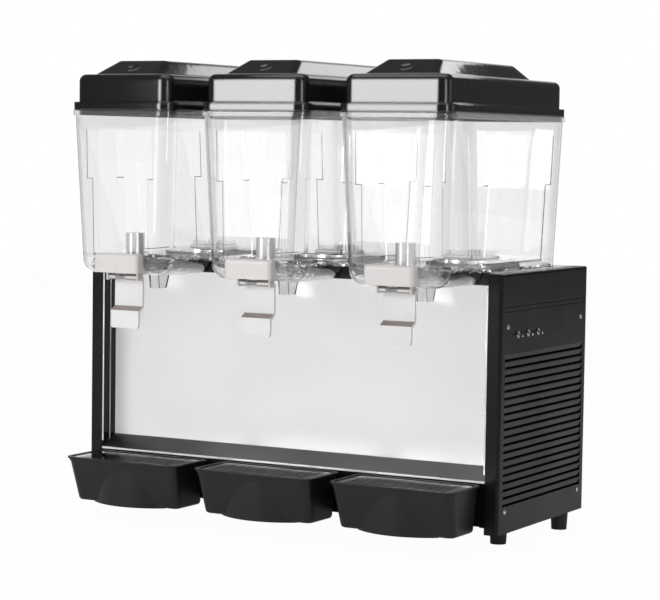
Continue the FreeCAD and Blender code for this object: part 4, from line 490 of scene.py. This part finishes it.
def at_line(value, lines):
    """Does a coordinate lie on one of some lines?"""
    return any(abs(value - line) < NEAR_ENOUGH for line in lines)


def span(values):
    """From the least to the greatest."""
    return max(values) - min(values)


class Wall:
    """A wall of a bowl, with the outline of its pressed panel.

    The wall runs along an axis, X in front and Y at the sides. Its panel reaches from near to
    far, and below the step it is narrower by a notch at each end. The function out says how far
    out a point lies, and what lies farther out than start belongs to the wall.
    """

    def __init__(self, axis, near, far, notch, start, out):
        self.axis = axis
        self.near = near
        self.far = far
        self.notch = notch
        self.start = start
        self.out = out
        self.lines = (near, near + notch, far - notch, far)

    def pressed(self, point):
        """Does a point of the wall lie in its pressed panel?"""
        if not RELIEF_FOOT < point.z < RELIEF_TOP:
            return False
        notch = self.notch if point.z < RELIEF_STEP else 0
        return self.near + notch < point[self.axis] < self.far - notch

    def has_step(self, points, middle):
        """Do the corners of a face lie on one line of the panel's outline?"""
        thin = span([point[1 - self.axis] for point in points]) < STEP_THICK
        if self.out(middle) <= self.start or not thin:
            return False
        along = [point[self.axis] for point in points]
        heights = [point.z for point in points]
        upright = span(along) < NEAR_ENOUGH and at_line(along[0], self.lines)
        level = span(heights) < NEAR_ENOUGH and at_line(heights[0], RELIEF_HEIGHTS)
        return upright or level

    def slope(self, point):
        """How far an outer corner of the outline moves away from the panel."""
        move = Vector()
        along = point[self.axis]
        if at_line(along, self.lines):
            move[self.axis] = math.copysign(STEP_SLOPE, along - (self.near + self.far) / 2)
        if at_line(point.z, RELIEF_HEIGHTS):
            move.z = -STEP_SLOPE
        return move

    def slope_step(self, corners):
        """The moves of the outer corners of a step."""
        outside = max(self.out(point) for point in corners.values()) - RELIEF_DEPTH / 2
        return {i: self.slope(point) for i, point in corners.items() if self.out(point) > outside}


def bowl_walls(centre):
    """The front wall and the side walls of a bowl."""
    cabinet_low, cabinet_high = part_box("side_panel_left")
    near = cabinet_low.y + RELIEF_FRONT
    far = cabinet_high.y - RELIEF_BACK

    def forward(point):
        return -point.y

    def sideways(point):
        return abs(point.x - centre)

    front = Wall(0, centre - RELIEF_HALF, centre + RELIEF_HALF, RELIEF_NOTCH, -near, forward)
    sides = Wall(1, near, far, RELIEF_SIDE_NOTCH, SIDE_REACH, sideways)
    return front, sides


def plain_finish(way, middle, centre, front, sides):
    """The finish of a face off the steps: the floor, a thick margin or the thin rest."""
    if abs(way.z) > LEVEL and middle.z < FLOOR_TOP:
        return "clear_floor"
    wall = None
    if way.y < -STRAIGHT:
        wall = front
    elif abs(way.x) > STRAIGHT and way.x * (middle.x - centre) > 0:
        wall = sides
    outer = way.y * middle.y > 0 or wall is sides or way.z < -DOWNWARD
    if outer and not (wall and wall.pressed(middle)):
        return "thick_clear"
    return "clear_bowl"


def dress_bowl(station, materials):
    """One clear bowl with thicker margins, and steps that catch the light through their slope and
    have painted shade in their grey finish.
    """
    low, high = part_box(f"bowl_{station}")
    centre = (low.x + high.x) / 2
    walls = bowl_walls(centre)
    data = frame["nodes"][f"bowl_{station}"].data.copy()
    data.materials.clear()
    for finish in BOWL_FINISHES:
        data.materials.append(materials[finish])
    moves = {}
    for face in data.polygons:
        corners = {i: data.vertices[i].co for i in face.vertices}
        points = list(corners.values())
        middle = sum(points, Vector()) / len(points)
        stepped = [wall for wall in walls if wall.has_step(points, middle)]
        if stepped:
            finish = "clear_step"
            moves.update(stepped[0].slope_step(corners))
        else:
            finish = plain_finish(face.normal, middle, centre, *walls)
        face.material_index = BOWL_FINISHES.index(finish)
    for i, move in moves.items():
        data.vertices[i].co += move
    piece = bpy.data.objects.new(f"bowl_{station}_clear", data)
    bpy.context.scene.collection.objects.link(piece)
    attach(piece, f"bowl_{station}_assembly")
    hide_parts(f"bowl_{station}")


# Meshes built in code

def sheet_column(mesh, x, outer, inner, foot, head):
    """The four corners of an upright sheet at one place along X."""
    ring = ((outer, foot), (outer, head), (inner, head), (inner, foot))
    return [mesh.verts.new((x, y, z)) for y, z in ring]


def skin_columns(mesh, columns):
    """Close a bar through rings of points, with a face at each end."""
    mesh.faces.new(columns[0])
    mesh.faces.new(columns[-1])
    for near, far in zip(columns, columns[1:]):
        for corner in range(len(near)):
            after = (corner + 1) % len(near)
            mesh.faces.new((near[corner], near[after], far[after], far[corner]))


def add_piece(name, mesh, material, body):
    """Make a piece from a mesh, with its finish, on a body."""
    bmesh.ops.recalc_face_normals(mesh, faces=mesh.faces)
    data = bpy.data.meshes.new(name)
    mesh.to_mesh(data)
    mesh.free()
    data.materials.append(material)
    piece = bpy.data.objects.new(name, data)
    bpy.context.scene.collection.objects.link(piece)
    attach(piece, body)
    return piece


# Steel linings of the two posts, which close the mirror panel's recess

LINING_BASE = 0.012
LINING_GAP = 0.0015
LINING_EDGE = 0.0006
LINING_SHEET = 0.0024
LINING_LAP = 0.0155
LINING_FOLD = 0.0044


def line_posts(materials):
    """A lining on the inner face of each post: a sheet and its folded lap behind it."""
    low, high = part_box("front_panel")
    post_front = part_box("side_panel_left")[0].y
    foot = low.z + LINING_BASE
    rise = high.z - LINING_GAP - foot
    back = high.y - LINING_GAP
    sheets = (
        (post_front + LINING_EDGE, LINING_SHEET),
        (post_front + LINING_LAP, LINING_FOLD),
    )
    for side, word in ((-1, "left"), (1, "right")):
        face = side * high.x
        mesh = bmesh.new()
        for start, thick in sheets:
            inner = face - side * thick
            corners = ((face, start), (inner, start), (inner, back), (face, back))
            loop = mesh.faces.new([mesh.verts.new((*corner, foot)) for corner in corners])
            top = bmesh.ops.extrude_face_region(mesh, geom=[loop])["geom"]
            moved = [part for part in top if isinstance(part, bmesh.types.BMVert)]
            bmesh.ops.translate(mesh, verts=moved, vec=(0, 0, rise))
        add_piece(f"post_lining_{word}", mesh, materials["trim_steel"], "cabinet")


# Pan head screws of the side panels, with radius and height along their profile

SCREW_INSET = 0.022
SCREW_RISES = (0.279, 0.030)
SCREW_FIRST_TURN = 0.3
SCREW_NEXT_TURN = 0.7
SCREW_SIDES = 40
SCREW_PROFILE = (
    (0.0, 0.0015),
    (0.0006, 0.0015),
    (0.0012, 0.00145),
    (0.0017, 0.0014),
    (0.0021, 0.00132),
    (0.0028, 0.00108),
    (0.0033, 0.0007),
    (0.0036, 0.0002),
    (0.0036, 0.0),
)
RECESS_HALF = 0.00045
RECESS_REACH = 0.0019
RECESS_DEPTH = 0.0009


def screw_head(mesh, place, side, turn):
    """One domed head with a cross recess, its axis along X."""
    rings = []
    for radius, height in SCREW_PROFILE:
        ring = []
        for step in range(SCREW_SIDES if radius else 1):
            angle = 2 * math.pi * step / SCREW_SIDES
            across, up = radius * math.cos(angle), radius * math.sin(angle)
            recessed = min(abs(across), abs(up)) < RECESS_HALF and radius < RECESS_REACH
            out = height - (RECESS_DEPTH if recessed else 0)
            y = across * math.cos(turn) - up * math.sin(turn)
            z = across * math.sin(turn) + up * math.cos(turn)
            ring.append(mesh.verts.new(place + Vector((side * out, y, z))))
        rings.append(ring)
    for inner, outer in zip(rings, rings[1:]):
        for step in range(SCREW_SIDES):
            after = (step + 1) % SCREW_SIDES
            if len(inner) == 1:
                mesh.faces.new((inner[0], outer[step], outer[after]))
            else:
                mesh.faces.new((inner[step], outer[step], outer[after], inner[after]))
    mesh.faces.new(rings[-1])


def dress_screws(materials):
    """Heads with cross recesses in place of the plain panel screws."""
    low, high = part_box("side_panel_right")
    mesh = bmesh.new()
    turn = SCREW_FIRST_TURN
    for side in (-1, 1):
        for y in (low.y + SCREW_INSET, high.y - SCREW_INSET):
            for rise in SCREW_RISES:
                screw_head(mesh, Vector((side * high.x, y, low.z + rise)), side, turn)
                turn += SCREW_NEXT_TURN
    for face in mesh.faces:
        face.smooth = len(face.verts) < SCREW_SIDES
    chrome = materials["switch_metal"]
    piece = add_piece("panel_screw_heads", mesh, chrome, "cabinet")
    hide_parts("panel_screws")


# Pleated dust screens behind the vents of the rear panel

VENT_SPREAD = 0.161
SCREEN_RISE = 0.0907
SCREEN_HEIGHT = 0.127
SCREEN_PLEAT = 0.0025
SCREEN_PLEATS = 46
SCREEN_DEPTH = 0.0024
SCREEN_SHEET = 0.0005
SCREEN_GAP = 0.0004


def screen_vents(materials):
    """One folded sheet behind each column of vents."""
    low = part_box("rear_panel")[0]
    foot = low.z + SCREEN_RISE
    head = foot + SCREEN_HEIGHT
    mesh = bmesh.new()
    for centre in (-VENT_SPREAD, 0, VENT_SPREAD):
        start = centre - SCREEN_PLEAT * SCREEN_PLEATS / 2
        columns = []
        for fold in range(SCREEN_PLEATS + 1):
            x = start + SCREEN_PLEAT * fold
            outer = low.y - SCREEN_GAP - SCREEN_DEPTH * (fold % 2)
            columns.append(sheet_column(mesh, x, outer, outer - SCREEN_SHEET, foot, head))
        skin_columns(mesh, columns)
    add_piece("vent_screens", mesh, materials["dust_screen"], "cabinet")


# Foam seals inside the upright edges of the rear panel

SEAL_INNER = 0.0067
SEAL_OUTER = 0.0113
SEAL_RISE = 0.0157
SEAL_DROP = 0.0175
SEAL_CROWN = 0.002
SEAL_STEPS = 8


def seal_edges(materials):
    """Two strips with a crowned back, over the joints of the rear panel."""
    low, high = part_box("rear_panel")
    foot = low.z + SEAL_RISE
    head = high.z - SEAL_DROP
    outer = low.y - SCREEN_GAP
    mesh = bmesh.new()
    for side in (-1, 1):
        columns = []
        for step in range(SEAL_STEPS + 1):
            share = step / SEAL_STEPS
            x = side * (high.x - SEAL_INNER + (SEAL_INNER + SEAL_OUTER) * share)
            inner = outer - SCREEN_SHEET - SEAL_CROWN * math.sin(math.pi * share)
            columns.append(sheet_column(mesh, x, outer, inner, foot, head))
        skin_columns(mesh, columns)
    add_piece("edge_seals", mesh, materials["dust_screen"], "cabinet")


# Lamps: the place, the point that the lamp faces, its width, height and radiance

LAMPS = {
    "key": ((-1.02, -2.2, 1.05), (-1.02, 0, 1.05), 0.76, 1.1, 8.3),
    "low_key": ((-1.02, -2.2, 0.33), (-1.02, 0, 0.33), 0.76, 0.34, 2.2),
    "card": ((-0.47, -0.9, 0.145), (-0.47, 0, 0.145), 1.9, 1.3, 0.585),
    "side": ((2.3, 0.3, 0.9), (0, 0, 0.6), 1.0, 0.8, 0.5),
    "strip": ((1.95, -1.5, 0.75), (0, 0, 0.55), 0.12, 1.1, 14),
    "rim": ((0.42, 2.6, 2.095), (0.42, 0, 0.65), 0.8, 0.35, 2.3),
    "top": ((0, -0.3, 2.6), (0, 0, 0), 2.4, 2.0, 1.0),
}


def softbox(name, centre, target, width, height, radiance):
    """A rectangular lamp that faces a point, as bright as radiance."""
    data = bpy.data.lights.new(name, "AREA")
    data.shape = "RECTANGLE"
    data.size = width
    data.size_y = height
    data.energy = radiance * math.pi * width * height
    lamp = bpy.data.objects.new(name, data)
    bpy.context.scene.collection.objects.link(lamp)
    lamp.location = centre
    way = Vector(target) - Vector(centre)
    lamp.rotation_mode = "QUATERNION"
    lamp.rotation_quaternion = way.to_track_quat("-Z", "Y")
    lamp.visible_camera = False
    return lamp


def link_light(lamp, objects, state):
    """Keep a lamp to some objects (INCLUDE), or off them (EXCLUDE)."""
    receivers = bpy.data.collections.new(lamp.name + "_receivers")
    lamp.light_linking.receiver_collection = receivers
    for obj in objects:
        receivers.objects.link(obj)
    for entry in receivers.collection_objects:
        entry.light_linking.link_state = state


def light_scene():
    """The softboxes. Only the card lights the mirror panel from the front, evenly."""
    lamps = {name: softbox(name, *values) for name, values in LAMPS.items()}
    panel = [frame["nodes"]["front_panel"]]
    linings = [bpy.data.objects[f"post_lining_{word}"] for word in ("left", "right")]
    link_light(lamps["key"], panel, "EXCLUDE")
    link_light(lamps["low_key"], panel, "EXCLUDE")
    link_light(lamps["card"], panel + linings, "INCLUDE")
    lamps["card"].data.use_shadow = False
    lamps["card"].data.cycles.use_multiple_importance_sampling = False


# The studio: how bright the room is, and the backdrop, by the cosine of the way to its middle

WHITE = (1, 1, 1, 1)
AMBIENT = 0.33
BACKDROP_WAY = Vector((-0.484, 0.873, 0.07)).normalized()
BACKDROP_EDGE = (0.85, 0.08)
BACKDROP_CORE = (0.97, 0.75)


def set_world():
    """White behind the object, a grey room around it, and a pale backdrop in its gloss."""
    world = bpy.data.worlds.new("studio")
    bpy.context.scene.world = world
    world.use_nodes = True
    tree = Tree(world.node_tree)
    tree.nodes.clear()
    room, shine, white = (tree.add("ShaderNodeBackground") for _ in range(3))
    for background in (room, shine, white):
        background.inputs["Color"].default_value = WHITE
    room.inputs["Strength"].default_value = AMBIENT
    way = tree.add("ShaderNodeTexCoord").outputs["Generated"]
    strength = tree.ramp(tree.dot(way, BACKDROP_WAY), BACKDROP_EDGE, BACKDROP_CORE)
    tree.links.new(strength, shine.inputs["Strength"])
    around = tree.mix_shaders(tree.glossy(), room.outputs[0], shine.outputs[0])
    surface = tree.mix_shaders(tree.seen(), around, white.outputs[0])
    output = tree.add("ShaderNodeOutputWorld")
    tree.links.new(surface, output.inputs["Surface"])


# The floor: how bright it shows, and how bright it is reflected, by the distance from the origin

FLOOR_REACH = 6.0
FLOOR_DULL = (0.9, 0.9, 0.9, 1)
FLOOR_SEEN = 0.975
FLOOR_NEAR = (0.4, 0.17)
FLOOR_FAR = (2.6, 0.06)


def floor_material():
    """Dull white that glows where a camera ray meets it, and less in reflections."""
    material = bpy.data.materials.new("floor_white")
    material.use_nodes = True
    tree = Tree(material.node_tree)
    tree.nodes.clear()
    dull = tree.add("ShaderNodeBsdfDiffuse")
    dull.inputs["Color"].default_value = FLOOR_DULL
    glow = tree.add("ShaderNodeEmission")
    glow.inputs["Color"].default_value = WHITE
    far = tree.add("ShaderNodeVectorMath", "LENGTH")
    tree.links.new(tree.add("ShaderNodeTexCoord").outputs["Object"], far.inputs[0])
    shine = tree.ramp(far.outputs["Value"], FLOOR_NEAR, FLOOR_FAR)
    reflected = tree.compute("MULTIPLY", tree.glossy(), shine)
    shown = tree.compute("MULTIPLY", tree.seen(), FLOOR_SEEN)
    share = tree.compute("MAXIMUM", reflected, shown)
    output = tree.add("ShaderNodeOutputMaterial")
    surface = tree.mix_shaders(share, dull.outputs[0], glow.outputs[0])
    tree.links.new(surface, output.inputs["Surface"])
    return material


def lay_floor():
    """A wide floor that shows white, keeps a soft shadow and fades in reflections."""
    mesh = bpy.data.meshes.new("floor")
    signs = ((-1, -1), (1, -1), (1, 1), (-1, 1))
    corners = [(x * FLOOR_REACH, y * FLOOR_REACH, 0) for x, y in signs]
    mesh.from_pydata(corners, [], [(0, 1, 2, 3)])
    floor = bpy.data.objects.new("floor", mesh)
    bpy.context.scene.collection.objects.link(floor)
    mesh.materials.append(floor_material())


set_camera()
bpy.context.scene.view_settings.view_transform = "Standard"
materials = make_paints()
paint_nodes(materials)
for station in STATIONS:
    dress_bowl(station, materials)
line_posts(materials)
dress_screws(materials)
screen_vents(materials)
seal_edges(materials)
light_scene()
set_world()
lay_floor()
